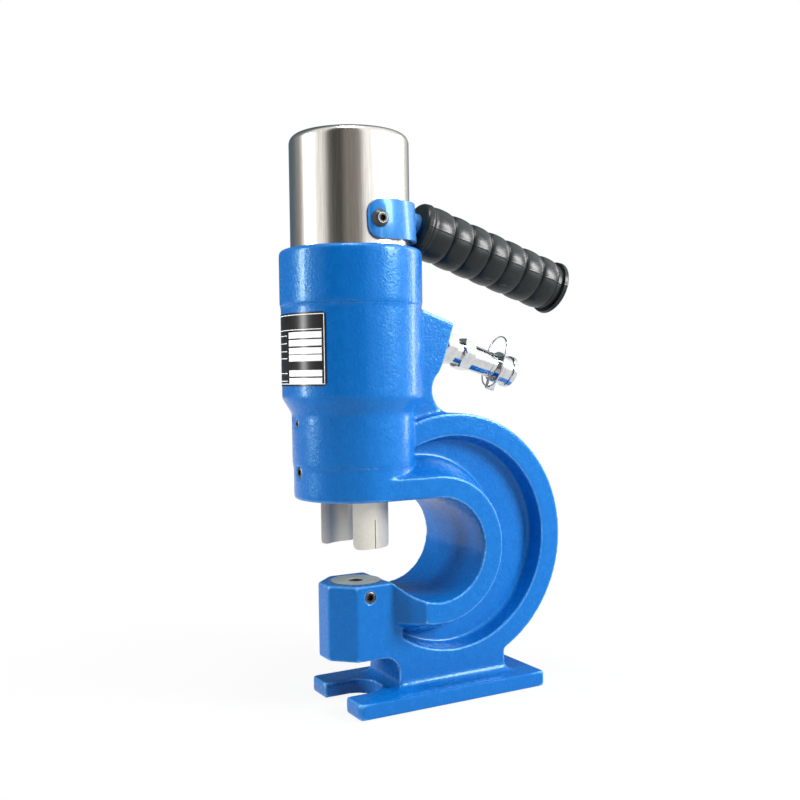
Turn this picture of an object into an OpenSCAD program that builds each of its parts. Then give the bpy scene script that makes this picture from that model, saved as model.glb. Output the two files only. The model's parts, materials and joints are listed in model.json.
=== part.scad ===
// Hydraulic busbar punch. Millimetres, +Z up, the base stands on z = 0.
// The row's origin is the middle of the base's underside. +X is the back, where the handle and the port are.
// Most modules are drawn round the punch's axis and moved to their place by at_punch().

/* [Base] */
// Length of the base, front to back
base_len = 153; // [145:1:180]
// Width of the base
base_w = 80; // [60:1:110]
// Thickness of the base
base_t = 11; // [8:0.5:14]
// Distance from the base's front edge to the punch's axis
base_front = 17.5; // [14:0.5:24]
// Rounding of the base's corners, seen from above
corner_r = 3; // [1:0.5:5]
// Radius of the slug slot's round end, also half the slot's width
slot_r = 17.2; // [14:0.2:20]

/* [C frame] */
// Width of the outer flange, the foot and the die block
flange_w = 46.8; // [44:0.2:54]
// Width of the band round the throat
band_w = 84; // [60:1:96]
// Thickness of the web between the two side pockets
web_t = 22; // [16:1:30]
// Outer radius of the C
rim_r = 93.1; // [91:0.1:96]
// Thickness of the outer flange at the pocket's edge
rim_t = 16; // [12:0.5:20]
// How far the C's outer circle lies behind the throat's centre
rim_shift = 23.5; // [20:0.5:26]
// How far the C's outer circle lies above the throat's centre
rim_rise = 0.9; // [0:0.1:2]
// Radius of the throat
throat_r = 36.4; // [34:0.2:38]
// Distance from the punch's axis to the throat's centre
throat_reach = 46; // [44:0.5:48]
// Thickness of the band round the throat
band_t = 15.1; // [12:0.1:18]
// Draft of the pocket's wall over its depth
draft = 3; // [1:0.5:5]
// Distance from the punch's axis to the foot's front face
foot_x = 22; // [20:0.5:24]
// Length of the foot
foot_len = 89; // [80:1:92]
// Radius of the fillet round the foot
foot_fillet = 6.7; // [3:0.1:8]
// Radius of the fillet under the die block
block_fillet = 12; // [6:0.5:14]

/* [Die] */
// Height of the die's top above the bench
die_z = 87; // [85:0.5:90]
// Height of the die block
block_h = 52.6; // [50:0.2:55]
// Chamfer of the die block's two front corners
block_chamfer = 14.7; // [8:0.1:16]
// Metal in front of the die
block_wall = 7.1; // [5:0.1:9]
// Radius of the die
die_r = 18.3; // [16:0.1:20]
// Height of the die
die_h = 24; // [20:1:28]
// Depth of the die's narrow land
land_h = 8; // [4:0.5:10]
// Radius of the slug hole under the die
slug_r = 10; // [8:0.5:13]
// Depth of the die screw below the die's top
die_screw_drop = 8.6; // [7:0.2:12]

/* [Housing] */
// Clear height from the die to the housing
mouth_h = 59; // [56:0.5:62]
// Radius of the hydraulic bore
bore_r = 33; // [31:0.5:35]
// Wall of the housing's lower part
lower_wall = 10.1; // [9:0.1:12]
// Height of the housing's lowest step
lower_h = 22; // [20:0.5:24]
// Height of the housing's waist
waist_h = 35; // [30:1:38]
// Height of the cone between waist and barrel
cone_h = 10.5; // [8:0.5:14]
// Small steps in the housing's radius
step_r = 0.8; // [0.4:0.1:1.2]
// Height over which a small step runs
step_h = 3; // [2:0.5:4]
// Wall of the crown round the spring cover
crown_wall = 8.2; // [7:0.2:10]
// Height of the crown
crown_h = 40.5; // [38:0.5:44]
// Rounding of the crown's top edge
crown_round = 3.5; // [2:0.5:5]
// Depth of the stripper's seat in the housing
guide_depth = 26; // [25:0.5:29]

/* [Port] */
// Width of the port boss
port_w = 32; // [28:1:40]
// Distance from the punch's axis to the middle of the port's face
port_reach = 70.5; // [68:0.5:74]
// Slope of the port's axis below level
port_tilt = 18.5; // [10:0.5:22]
// Depth of the port's thread
port_depth = 14; // [12:0.5:16]
// Radius of the port's thread
port_r = 8.3; // [7:0.1:9]
// Radius of the boss's neck
neck_r = 17.2; // [14:0.2:18]

/* [Ram] */
// Working stroke of the ram
stroke = 62; // [56:1:66]
// How far the punch enters the die
punch_entry = 2; // [1:0.5:4]
// Radius of the ram's rod
rod_r = 18.5; // [17.5:0.1:19.5]
// Thickness of the piston
piston_t = 17.5; // [16:0.5:20]
// Height of the boss on the piston
piston_boss_h = 9.7; // [8:0.1:12]
// Length of the punch below the ram
punch_stick = 13; // [8:0.5:13]
// Radius of the punch's tip
punch_r = 5; // [3:0.25:5.5]
// Radial gap between the punch's tip and the die
punch_gap = 0.3; // [0.15:0.05:0.5]
// Radius of the tie rod
tie_r = 8; // [6:0.5:9]

/* [Stripper] */
// Wall of the stripper's claws
claw_wall = 4.7; // [4:0.1:5.5]
// Length of the claws below the housing
claw_drop = 34; // [28:1:38]
// Width of the slot milled between the claws
claw_slot = 35; // [30:0.5:37]
// Turn of the claws about the punch's axis
claw_turn = 14; // [0:1:30]
// Rounding of the claws' lower corners
claw_round = 5; // [2:0.5:7]
// Width of the slit in the near claw
slit_w = 0.8; // [0.5:0.1:1.5]
// Height of the slit in the near claw
slit_h = 20; // [14:1:24]
// Height of the stripper's collar
collar_h = 21; // [20:0.5:23]

/* [Head and spring] */
// Thickness of the cylinder's head
head_t = 22; // [20:0.5:26]
// Thread step from the bore to the head
head_step = 4; // [3:0.5:5]
// Depth of the spring's seat in the head
spring_seat = 6; // [4:0.5:8]
// Wire of the return spring
spring_wire = 6; // [4:0.5:6.5]
// Turns of the return spring
spring_turns = 6; // [5:1:7]
// Mean radius of the return spring
spring_r = 26.5; // [22:0.5:27]
// Depth of the cover's seat in the crown
cover_seat = 35.5; // [32:0.5:38]
// Ledge that carries the spring cover
cover_ledge = 5; // [4:0.5:6]
// Wall of the spring cover
cover_wall = 1.5; // [1:0.1:2.5]
// Rounding of the cover's top edge
cover_round = 5.5; // [3:0.5:8]

/* [Handle] */
// Height of the handle's screws above the crown
pivot_h = 16.5; // [15:0.5:20]
// Height of the handle's strap
strap_h = 26.3; // [22:0.1:28]
// Thickness of the strap
strap_t = 3.2; // [2.8:0.1:4]
// Gap between the cover and the strap
strap_gap = 1; // [0.9:0.1:1.4]
// How far the strap reaches past its screws
strap_end = 7.5; // [7.5:0.5:14]
// Tilt of the strap at rest, back end up
strap_tilt = 2.5; // [0:0.5:2.5]
// Slope of the grip below level
grip_tilt = 18.2; // [10:0.2:22]
// Length of the grip behind its start
grip_len = 122.4; // [118:0.2:140]
// Radius of the grip
grip_r = 19.9; // [16:0.1:20]
// Radius of the tube in the grip
tube_r = 10; // [7:0.5:11]
// Wall of the tube in the grip
tube_wall = 2; // [1.5:0.25:3]
// Step from one groove of the grip to the next
groove_pitch = 16.5; // [14:0.5:17]
// Depth of the grip's grooves
groove_depth = 1.8; // [1:0.1:3]

/* [Coupler] */
// Width across flats of the adapter and the nipple
coupler_af = 22; // [19:1:24]
// Length of the adapter's hexagon
adapter_h = 10; // [8:0.5:12]
// Length of the nipple's neck
nipple_neck = 6.2; // [4:0.2:8]
// Length of the nipple's hexagon
nipple_hex = 9.5; // [8:0.5:12]
// Length of the nipple's round body
nipple_body = 22; // [20:0.5:26]
// Radius of the nipple's round body
nipple_r = 9.5; // [9:0.1:10]
// Length of the nipple's nose
nose_len = 12; // [10:0.5:14]
// Radius of the nipple's nose
nose_r = 7.9; // [7:0.1:8.4]
// Radius of the dust cap
cap_r = 12; // [11:0.2:13]
// Length of the dust cap
cap_len = 15; // [14:0.5:18]
// Travel of the valve's poppet
poppet_travel = 3; // [2:0.5:4]
// Half width of the tether's wire loop
loop_r = 12.2; // [12:0.2:14]
// Height of the tether's loop above the coupler's axis
loop_top = 24.4; // [20:0.2:26]
// Depth of the tether's loop below the coupler's axis
loop_low = 16; // [15:0.2:18]

/* [Data plate] */
// Height of the data plate
plate_h = 49.3; // [40:0.5:52]
// Half the angle that the data plate covers
plate_angle = 44; // [30:1:60]
// Thickness of the data plate
plate_t = 0.3; // [0.2:0.1:0.6]

/* [Hidden] */
$fn = 96;
// Radial gap of a piece that runs in another
run_gap = 0.04;
// Radial gap of a piece that is screwed or pressed into another
seat_gap = 0.02;
// Gap that is left where a moving piece stops
stop_gap = 0.3;
// How far a cut runs past the face it opens
over = 1;
// Longer than the C, for cuts that run out in front of it
far = 200;

// Places along x, from the punch's axis
punch_x = base_front - base_len / 2;
base_x0 = -base_front;
base_x1 = base_len - base_front;
rim_x = throat_reach + rim_shift;
block_x0 = -(die_r + block_wall);
// How far the die block and the C run into each other
block_lap = 3;
block_x1 = foot_x + block_lap;
flange_half = flange_w / 2;
band_half = band_w / 2;
web_half = web_t / 2;
// Distance from the foot's front to where the lower band has its full width
wedge_len = 11.8;
// How much further the band's flank reaches at the web than at the edge
band_root = 12.2;
// How far the pockets' circle lies in front of and below the C's outer circle
pocket_shift = 0.5;
pocket_drop = 0.2;

// Heights from the bench up to the crown
block_z = die_z - block_h;
housing_z = die_z + mouth_h;
throat_z = housing_z - throat_r;
rim_z = throat_z + rim_rise;
band_r = throat_r + band_t;
pocket_r = rim_r - rim_t;
mouth_x = throat_reach - sqrt(throat_r * throat_r - pow(throat_z - die_z, 2));
guide_z = housing_z + guide_depth;
// Room that is left at the end of the stroke
stroke_spare = 0.5;
piston_z = guide_z + stroke + stroke_spare;
piston_top = piston_z + piston_t;
head_z = piston_top + piston_boss_h + stop_gap;
head_top = head_z + head_t;
crown_top = head_top + cover_seat;
lower_z = housing_z + lower_h;
waist_z = lower_z + step_h + waist_h;
barrel_z = waist_z + cone_h;
crown_z = crown_top - crown_h;
lower_round = 2.5;
// Distance from the crown's step down to the data plate
plate_drop = 4.4;
plate_gap = 0.06;

// Radii of the housing and its bores
mid_r = bore_r + lower_wall;
lower_r = mid_r - step_r;
head_r = bore_r + head_step;
cover_r = head_r + cover_ledge;
cover_gap = 0.05;
crown_r = cover_r + crown_wall;
barrel_r = crown_r - step_r;

// Stripper, from the rod outwards
claw_gap = 0.8;
claw_r_in = rod_r + claw_gap;
claw_r = claw_r_in + claw_wall;
collar_step = 4;
collar_r = claw_r + collar_step;
collar_gap = 0.05;
collar_drop = 1;
collar_top = guide_z - collar_drop;
collar_z = collar_top - collar_h;
bush_wall = 3;
bush_r_in = rod_r + run_gap;
bush_r = bush_r_in + bush_wall;
bush_h = 16;
wiper_h = 3.7;
wiper_play = 0.15;
wiper_step = 0.5;
wiper_r = bush_r + wiper_step;
wiper_z = collar_top - bush_h - wiper_h - wiper_play;
claw_z = housing_z - claw_drop;
// Direction of the near claw's slit, and half the chord of a claw
slit_angle = 280;
claw_half = sqrt(claw_r * claw_r - claw_slot * claw_slot / 4);

// Ram and punch
tip_z = die_z - punch_entry + stroke;
ram_z = tip_z + punch_stick;
piston_r = bore_r - run_gap;
boss_step = 6;
head_bore_r = tie_r + run_gap;
punch_step = 1;
punch_shank_r = punch_r + punch_step;
punch_head_step = 3;
punch_head_r = punch_shank_r + punch_head_step;
punch_head_h = 6;
retainer_wall = 3;
retainer_r = punch_head_r + retainer_wall;
retainer_h = 6;
retainer_sink = 0.2;
die_gap = 0.05;
die_hole_r = punch_r + punch_gap;
die_relief = 1.2;
die_relief_r = die_hole_r + die_relief;

// Seals: height, depth of the groove, and the play that each has in its groove
seal_play = 0.1;
seal_up = 5.5;
seal_h = 6;
seal_depth = 4;
guide_up = 13;
guide_h = 3.5;
guide_depth_r = 2.5;
head_groove_up = 5;
head_groove_h = 3;
head_groove_depth = 2.6;
rod_seal_up = 8;
rod_seal_h = 3;
rod_seal_wall = 2.5;
// Holes for a pin wrench: radius and depth
pin_hole_r = 1.8;
pin_hole_h = 5;
small_pin_r = 1.2;
small_pin_h = 3;

// Screws: radius, socket width across flats and socket depth
m8_r = 4;
m8_af = 4;
m5_r = 2.5;
m5_af = 2.5;
socket_depth = 3;
dog_r = 2.3;
screw_sink = 0.6;
stripper_screw_rise = 19.7;
stripper_screw_z = housing_z + stripper_screw_rise;
stop_screw_drop = 6.7;
stop_screw_z = waist_z - stop_screw_drop;
stop_screw_len = 6;
stop_screw_tip = 0.5;
// Grooves that the screws' points reach into
die_screw_z = die_z - die_screw_drop;
groove_half = 2.7;
groove_cut = 1;

// Return spring and tie rod
spring_z = head_top - spring_seat;
spring_spare = 2;
spring_len = stroke + spring_turns * spring_wire + spring_spare;
retainer_z = spring_z + spring_len;
disc_t = 6;
disc_edge = 0.5;
disc_r = spring_r + spring_wire / 2 + disc_edge;
seat_edge = 1;
spring_seat_r = disc_r + seat_edge;
tie_nut_af = 24;
tie_nut_h = 8;
tie_end = 1;
tie_top = retainer_z + disc_t + tie_nut_h + tie_end;
tie_floor = 5.5;
tie_bottom = piston_z + tie_floor;
cover_air = 4.5;
cover_top = tie_top + cover_air + cover_wall;

// Handle
pivot_z = crown_top + pivot_h;
strap_r_in = cover_r + strap_gap;
strap_r = strap_r_in + strap_t;
strap_round = 9;
pivot_gap = 0.05;
shoulder_r = 4;
shoulder_play = 0.5;
strap_hole_r = shoulder_r + pivot_gap;
thread_r = 3;
thread_hole_r = thread_r + 0.2;
// The screw's round head: radius at the strap, radius in front, height and socket
screw_head_r = 5.9;
screw_face_r = 3.8;
screw_head_h = 3.6;
screw_head_af = 4;
nut_r = 7;
nut_t = 5.5;
washer_r = 5;
washer_play = 0.1;

// Grip: where it starts behind the crown, its collar towards the strap and its rim at the end
grip_stand = 9.8;
grip_x = crown_r + grip_stand;
collar_len = 8.8;
collar_edge = 1.5;
collar_slim = 0.6;
rim_len = 3.8;
rim_step = 0.9;
rim_edge = 1.4;
rim_groove = 4.5;
rim_wall = 0.5;
first_groove = 16;
groove_w = 3;
rim_groove_s = grip_len - rim_len - rim_groove;
groove_last = rim_groove_s - 2 * groove_w;
groove_count = floor((groove_last - first_groove) / groove_pitch) + 1;
grip_end_wall = 5.4;
tube_len = grip_len - grip_end_wall;
tube_start = (grip_x - strap_r_in) / cos(grip_tilt) + tube_r * tan(grip_tilt) + over;

// Port and coupler, along the port's own axis from its face
passage_r = 2.5;
passage_drop = 4;
passage_z = head_z - passage_drop;
port_z = passage_z - port_depth * sin(port_tilt);
boss_up = 16;
boss_down = 14.2;
boss_slope = 20;
boss_bevel = 1.9;
boss_root = 8;
// The neck's arc: how far its centre lies behind the barrel and above the C
neck_back = 24.2;
neck_up = 16.7;
neck_from = 130;
neck_to = 250;
port_half = port_w / 2;
port_gap = 0.05;
washer_t = 2;
washer_out_r = 11.5;
adapter_top = washer_t + adapter_h;
adapter_stud_r = 6.6;
adapter_stud = 14;
adapter_bore_r = 3;
adapter_end = adapter_top + adapter_stud;
neck_step = 0.5;
nipple_hex_s = adapter_top + nipple_neck;
nipple_body_s = nipple_hex_s + nipple_hex;
nose_s = nipple_body_s + nipple_body;
nose_end = nose_s + nose_len;
valve_r = 5.2;
valve_wall = 4;
valve_seat = 1.2;
// Groove that the coupler's balls lock into
ball_groove_s = nose_s - 6.5;
ball_groove_w = 2.5;
ball_groove_cut = 0.9;
loop_wire = 0.7;
loop_stand = 2;
loop_s = nose_s + loop_stand;
cap_s = loop_s + loop_wire + stop_gap;
cap_end = cap_s + cap_len;
cap_gap = 0.1;
cap_bore_r = nose_r + cap_gap;
cap_waist = 1.2;
cap_rim = 3;
cap_slope = 0.6;
cap_lip = 4.4;
cap_bevel = 1;
lug_half = 1.75;
lug_len = 7;
lug_start = loop_s - 1.5;
lug_reach = loop_low + 2;
poppet_s = nose_end - valve_wall - stop_gap;
poppet_disc = 3;
poppet_gap = 0.3;
poppet_stem = 9;
poppet_stem_r = 1.5;
valve_spring_wire = 0.7;
valve_spring_turns = 9;
valve_spring_r = 3.9;

// Points along an arc in the plane
function arc(cx, cy, r, a0, a1, n) =
    [for (i = [0:n]) let (a = a0 + (a1 - a0) * i / n) [cx + r * cos(a), cy + r * sin(a)]];

// A wall that flares out into its floor at both ends, closed below the floor
function flared(lo, hi, floor_z, top_z, r) = concat(
    [[lo - r, floor_z - over]],
    arc(lo - r, floor_z + r, r, -90, 0, 6),
    [[lo, top_z], [hi, top_z]],
    arc(hi + r, floor_z + r, r, 180, 270, 6),
    [[hi + r, floor_z - over]]);

module at_punch() translate([punch_x, 0, 0]) children();

// A side view drawn in x and z, as thick as twice half
module side_slab(half) rotate([90, 0, 0]) linear_extrude(2 * half, center = true) children();

// A section drawn in y and z, run along x
module along_x(x0, x1) translate([x0, 0, 0]) rotate([90, 0, 90]) linear_extrude(x1 - x0) children();

// The port's axis as +Z, with the port's face at 0
module at_port() at_punch() translate([port_reach, 0, port_z]) rotate([0, 90 + port_tilt, 0]) children();

// The grip's axis as +Z, with the grip's start at 0
module at_grip() at_punch() translate([grip_x, 0, pivot_z]) rotate([0, 90 + grip_tilt, 0]) children();

// The strap's middle, tilted about its screws
module at_strap() at_punch() translate([0, 0, pivot_z]) rotate([0, -strap_tilt, 0]) children();

module ring(r_out, r_in, h) difference() {
    cylinder(h = h, r = r_out);
    translate([0, 0, -over]) cylinder(h = h + 2 * over, r = r_in);
}

module hexagon(af, h) cylinder(h = h, r = af / sqrt(3), $fn = 6);

// A tube swept along points, each with its own sideways direction, and one upward direction for all
module swept(points, sideways, upward, r, sides, closed) {
    n = len(points);
    rings = [for (i = [0:n - 1]) for (j = [0:sides - 1])
        points[i] + r * (cos(360 * j / sides) * sideways[i] + sin(360 * j / sides) * upward)];
    spans = closed ? n : n - 1;
    walls = [for (i = [0:spans - 1]) for (j = [0:sides - 1])
        let (k = (j + 1) % sides, m = (i + 1) % n)
        each [[i * sides + j, m * sides + k, m * sides + j], [i * sides + j, i * sides + k, m * sides + k]]];
    ends = closed ? [] : [for (j = [1:sides - 2])
        each [[0, j + 1, j], [(n - 1) * sides, (n - 1) * sides + j, (n - 1) * sides + j + 1]]];
    polyhedron(points = rings, faces = concat(walls, ends));
}

// A coil spring between two heights
module coil(r, wire, turns, z0, z1, name) {
    steps = 12 * turns;
    low = z0 + wire / 2 + 0.05;
    high = z1 - wire / 2 - 0.05;
    path = [for (i = [0:steps]) [r * cos(30 * i), r * sin(30 * i), low + (high - low) * i / steps]];
    outward = [for (i = [0:steps]) [cos(30 * i), sin(30 * i), 0]];
    gaps = [for (i = [0:steps - 12]) norm(path[i + 12] - path[i]) - wire];
    echo(str(name, " least gap between turns ", min(gaps), " mm"));
    swept(path, outward, [0, 0, 1], wire / 2, 6, false);
}

// A socket set screw along +Z, its point at 0 and its socket on top
module set_screw(r, len, af, point_r, point_len) difference() {
    union() {
        cylinder(h = point_len + over, r = point_r);
        translate([0, 0, point_len]) cylinder(h = len - point_len, r = r);
    }
    translate([0, 0, len - socket_depth]) hexagon(af, socket_depth + over);
}

// The open mouth and the throat behind it, seen from the side
module mouth_outline() {
    start = -asin((throat_z - die_z) / throat_r);
    polygon(concat(
        [[-far, die_z]],
        arc(throat_reach, throat_z, throat_r, 180 - start, 450, 72),
        [[-far, housing_z]]));
}

module base_plate() linear_extrude(base_t) polygon(concat(
    arc(base_x1 - corner_r, base_w / 2 - corner_r, corner_r, 0, 90, 6),
    arc(base_x0 + corner_r, base_w / 2 - corner_r, corner_r, 90, 180, 6),
    [[base_x0, slot_r]],
    arc(0, 0, slot_r, 90, -90, 24),
    [[base_x0, -slot_r]],
    arc(base_x0 + corner_r, corner_r - base_w / 2, corner_r, 180, 270, 6),
    arc(base_x1 - corner_r, corner_r - base_w / 2, corner_r, 270, 360, 6)));

// Top of the foot, well inside the C
foot_lap = 2;
foot_top = rim_z - sqrt(rim_r * rim_r - pow(rim_x - foot_x + foot_lap, 2));

module foot() intersection() {
    side_slab(base_w) polygon(flared(foot_x, foot_x + foot_len, base_t, foot_top, foot_fillet));
    along_x(base_x0, base_x1) polygon(flared(-flange_half, flange_half, base_t, foot_top, foot_fillet));
}

module die_block() {
    translate([0, 0, block_z]) linear_extrude(block_h) polygon([
        [block_x0, block_chamfer - flange_half], [block_x0, flange_half - block_chamfer],
        [block_x0 + block_chamfer, flange_half], [block_x1, flange_half],
        [block_x1, -flange_half], [block_x0 + block_chamfer, -flange_half]]);
    side_slab(flange_half) polygon(concat(
        [[block_x1, block_z + over], [foot_x - block_fillet, block_z + over]],
        arc(foot_x - block_fillet, block_z - block_fillet, block_fillet, 90, 0, 8),
        [[block_x1, block_z - block_fillet]]));
}

// The C as a flat plate, before the pockets
module c_plate() side_slab(flange_half) difference() {
    translate([rim_x, rim_z]) circle(r = rim_r);
    translate([foot_x - far, 0]) square([far, block_z]);
    translate([-far, 0]) square([far, die_z]);
}

// The band's flank: a cone from its edge in to the web, with a straight run under the housing
module band_flank() {
    translate([throat_reach, -web_half, throat_z]) rotate([90, 0, 0])
        cylinder(h = band_half - web_half, r1 = band_r + band_root, r2 = band_r);
    along_x(0, throat_reach) polygon([[-web_half, housing_z], [-band_half, housing_z],
        [-band_half, housing_z + band_t], [-web_half, housing_z + band_t + band_root]]);
}

// The band round the throat, narrowed towards the die block
module throat_band() difference() {
    for (side = [0, 1]) mirror([0, side, 0]) band_flank();
    for (side = [-1, 1]) translate([0, 0, block_z]) linear_extrude(throat_z - block_z) polygon([
        [block_x0, side * flange_half], [mouth_x - over, side * flange_half],
        [foot_x + wedge_len, side * band_half], [foot_x + wedge_len, side * (band_half + over)],
        [block_x0, side * (band_half + over)]]);
}

module side_pocket() {
    depth = flange_half - web_half;
    grow = draft * over / depth;
    difference() {
        translate([rim_x - pocket_shift, -web_half, rim_z - pocket_drop]) rotate([90, 0, 0])
            cylinder(h = depth + over, r1 = pocket_r - draft, r2 = pocket_r + grow);
        side_slab(band_half) translate([foot_x - far, 0]) square([far, throat_z]);
    }
}

module housing_body() rotate_extrude() polygon(concat(
    [[0, housing_z]],
    arc(lower_r - lower_round, housing_z + lower_round, lower_round, -90, 0, 4),
    [[lower_r, lower_z], [mid_r, lower_z + step_h], [mid_r, waist_z], [barrel_r, barrel_z],
        [barrel_r, crown_z], [crown_r, crown_z + step_h]],
    arc(crown_r - crown_round, crown_top - crown_round, crown_round, 0, 90, 5),
    [[0, crown_top]]));

// The boss leans with the port's face and its neck runs down into the C
module port_boss() {
    up = [sin(port_tilt), cos(port_tilt)];
    face = [port_reach, port_z];
    top = face + boss_up * up;
    low = face - boss_down * up;
    back = [-cos(boss_slope), sin(boss_slope)];
    root = (top[0] - barrel_r + boss_root) / cos(boss_slope);
    neck_x = barrel_r + neck_back;
    neck_z = rim_z + rim_r + neck_up;
    side_slab(port_half) polygon(concat(
        [top + root * back, top + boss_bevel / 2 * back, top - boss_bevel * up, low],
        arc(neck_x, neck_z, neck_r, neck_from, neck_to, 12),
        [[neck_x - boss_root, neck_z - 1.7 * neck_r], [barrel_r - 2 * boss_root, neck_z - 1.7 * neck_r]]));
}

module housing_bores() {
    translate([0, 0, housing_z - over]) cylinder(h = guide_depth + 2 * over, r = collar_r);
    translate([0, 0, guide_z]) cylinder(h = head_z - guide_z + over, r = bore_r);
    translate([0, 0, head_z]) cylinder(h = head_t + over, r = head_r);
    translate([0, 0, head_top]) cylinder(h = cover_seat + over, r = cover_r + cover_gap);
}

module die_bores() {
    translate([0, 0, die_z - die_h]) cylinder(h = die_h + over, r = die_r + die_gap);
    translate([0, 0, block_z - over]) cylinder(h = block_h, r = slug_r);
    translate([0, 0, die_screw_z]) rotate([90, 0, 0]) cylinder(h = flange_half + over, r = m8_r + seat_gap);
}

module side_holes() {
    translate([0, 0, stripper_screw_z]) rotate([0, -90, 0])
        cylinder(h = lower_r + over, r = m8_r + seat_gap);
    translate([stop_screw_len - mid_r, 0, stop_screw_z]) rotate([0, -90, 0])
        cylinder(h = stop_screw_len + over, r = m5_r + seat_gap);
    translate([bore_r - over, 0, passage_z]) rotate([0, 90, 0])
        cylinder(h = port_reach - port_depth * cos(port_tilt) - bore_r + over, r = passage_r);
}

module frame_casting() color("dodgerblue") difference() {
    at_punch() difference() {
        union() {
            difference() {
                union() {
                    die_block();
                    difference() {
                        c_plate();
                        side_pocket();
                        mirror([0, 1, 0]) side_pocket();
                    }
                    throat_band();
                }
                side_slab(band_half + over) mouth_outline();
            }
            base_plate();
            foot();
            housing_body();
            port_boss();
        }
        housing_bores();
        die_bores();
        side_holes();
    }
    at_port() translate([0, 0, -port_depth]) cylinder(h = port_depth + 2 * over, r = port_r);
}

module data_plate() color("black") at_punch() translate([0, 0, crown_z - plate_drop - plate_h])
    rotate([0, 0, 180 - plate_angle]) rotate_extrude(angle = 2 * plate_angle)
    translate([barrel_r + plate_gap, 0]) square([plate_t, plate_h]);

module spring_cover() color("silver") at_punch() difference() {
    rotate_extrude() polygon(concat(
        [[cover_r - cover_wall, head_top], [cover_r, head_top]],
        arc(cover_r - cover_round, cover_top - cover_round, cover_round, 0, 90, 6),
        [[0, cover_top], [0, cover_top - cover_wall]],
        arc(cover_r - cover_round, cover_top - cover_round, cover_round - cover_wall, 90, 0, 6)));
    translate([0, 0, pivot_z]) rotate([90, 0, 0]) cylinder(h = 3 * cover_r, r = thread_hole_r, center = true);
}

// A pair of copies on the two sides of the cover, +Z pointing outwards
module both_sides() at_punch() for (side = [-1, 1])
    translate([0, 0, pivot_z]) rotate([side * 90, 0, 0]) children();

module cover_nuts() color("gray") intersection() {
    both_sides() translate([0, 0, cover_r - cover_wall - nut_t])
        ring(nut_r, thread_r + seat_gap, nut_t);
    at_punch() translate([0, 0, head_top])
        cylinder(h = cover_top - head_top, r = cover_r - cover_wall - cover_gap);
}

module handle_screws() color("dimgray") both_sides() difference() {
    union() {
        translate([0, 0, cover_r - cover_wall - nut_t])
            cylinder(h = nut_t + cover_wall + strap_gap, r = thread_r);
        translate([0, 0, strap_r_in - shoulder_play])
            cylinder(h = strap_t + shoulder_play + over, r = shoulder_r);
        translate([0, 0, strap_r + pivot_gap])
            cylinder(h = screw_head_h, r1 = screw_head_r, r2 = screw_face_r);
    }
    translate([0, 0, strap_r + pivot_gap + screw_head_h - socket_depth])
        hexagon(screw_head_af, socket_depth + over);
}

module handle_washers() color("silver") both_sides() translate([0, 0, cover_r + washer_play])
    ring(washer_r, thread_hole_r, strap_gap - shoulder_play - washer_play);

module cylinder_head() color("darkgray") at_punch() difference() {
    translate([0, 0, head_z]) cylinder(h = head_t, r = head_r - seat_gap);
    translate([0, 0, spring_z]) cylinder(h = spring_seat + over, r = spring_seat_r);
    translate([0, 0, head_z - over]) cylinder(h = head_t + 2 * over, r = head_bore_r);
    translate([0, 0, head_z + head_groove_up]) ring(head_r + over, head_r - head_groove_depth, head_groove_h);
    translate([0, 0, head_z + rod_seal_up]) cylinder(h = rod_seal_h, r = tie_r + rod_seal_wall);
    for (side = [-1, 1]) translate([side * (head_r + spring_seat_r) / 2, 0, head_top - pin_hole_h])
        cylinder(h = pin_hole_h + over, r = pin_hole_r);
}

module head_o_ring() color("black") at_punch() translate([0, 0, head_z + head_groove_up + head_groove_h / 2])
    rotate_extrude() translate([head_r - head_groove_depth / 2, 0])
    circle(r = head_groove_depth / 2 - seat_gap, $fn = 24);

module tie_rod_seal() color("black") at_punch() translate([0, 0, head_z + rod_seal_up + seal_play])
    ring(tie_r + rod_seal_wall - seat_gap, head_bore_r, rod_seal_h - 2 * seal_play);

// One claw's outline seen square to it, with rounded lower corners
module claw_outline() polygon(concat(
    [[claw_half + over, guide_z], [-claw_half - over, guide_z]],
    arc(claw_round - claw_half, claw_z + claw_round, claw_round, 180, 270, 6),
    arc(claw_half - claw_round, claw_z + claw_round, claw_round, 270, 360, 6)));

module stripper_sleeve() color("silver") at_punch() difference() {
    union() {
        translate([0, 0, collar_z]) cylinder(h = collar_h, r = collar_r - collar_gap);
        rotate([0, 0, claw_turn]) intersection() {
            translate([0, 0, claw_z]) cylinder(h = collar_z - claw_z + over, r = claw_r);
            side_slab(claw_r + over) claw_outline();
        }
    }
    rotate([0, 0, claw_turn]) translate([-collar_r - over, -claw_slot / 2, claw_z - over])
        cube([2 * collar_r + 2 * over, claw_slot, collar_z - claw_z]);
    translate([0, 0, claw_z - over]) cylinder(h = collar_top - claw_z + 2 * over, r = claw_r_in);
    translate([0, 0, collar_top - bush_h]) cylinder(h = bush_h + over, r = bush_r + seat_gap);
    translate([0, 0, wiper_z - wiper_play])
        cylinder(h = wiper_h + 2 * wiper_play, r = wiper_r + seat_gap);
    translate([0, 0, stripper_screw_z - groove_half])
        ring(collar_r + over, collar_r - collar_gap - groove_cut, 2 * groove_half);
    rotate([0, 0, slit_angle]) translate([0, -slit_w / 2, claw_z - over])
        cube([claw_r + over, slit_w, slit_h + over]);
}

module guide_bush() color("darkgoldenrod") at_punch() translate([0, 0, collar_top - bush_h])
    ring(bush_r, bush_r_in, bush_h);

module rod_wiper() color("black") at_punch() translate([0, 0, wiper_z])
    ring(wiper_r, rod_r + 2 * run_gap, wiper_h);

module stripper_screw() color("black") at_punch()
    translate([groove_cut - collar_r - collar_gap, 0, stripper_screw_z]) rotate([0, -90, 0])
    set_screw(m8_r, lower_r - collar_r + groove_cut - screw_sink, m8_af, dog_r, groove_cut + screw_sink);

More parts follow.
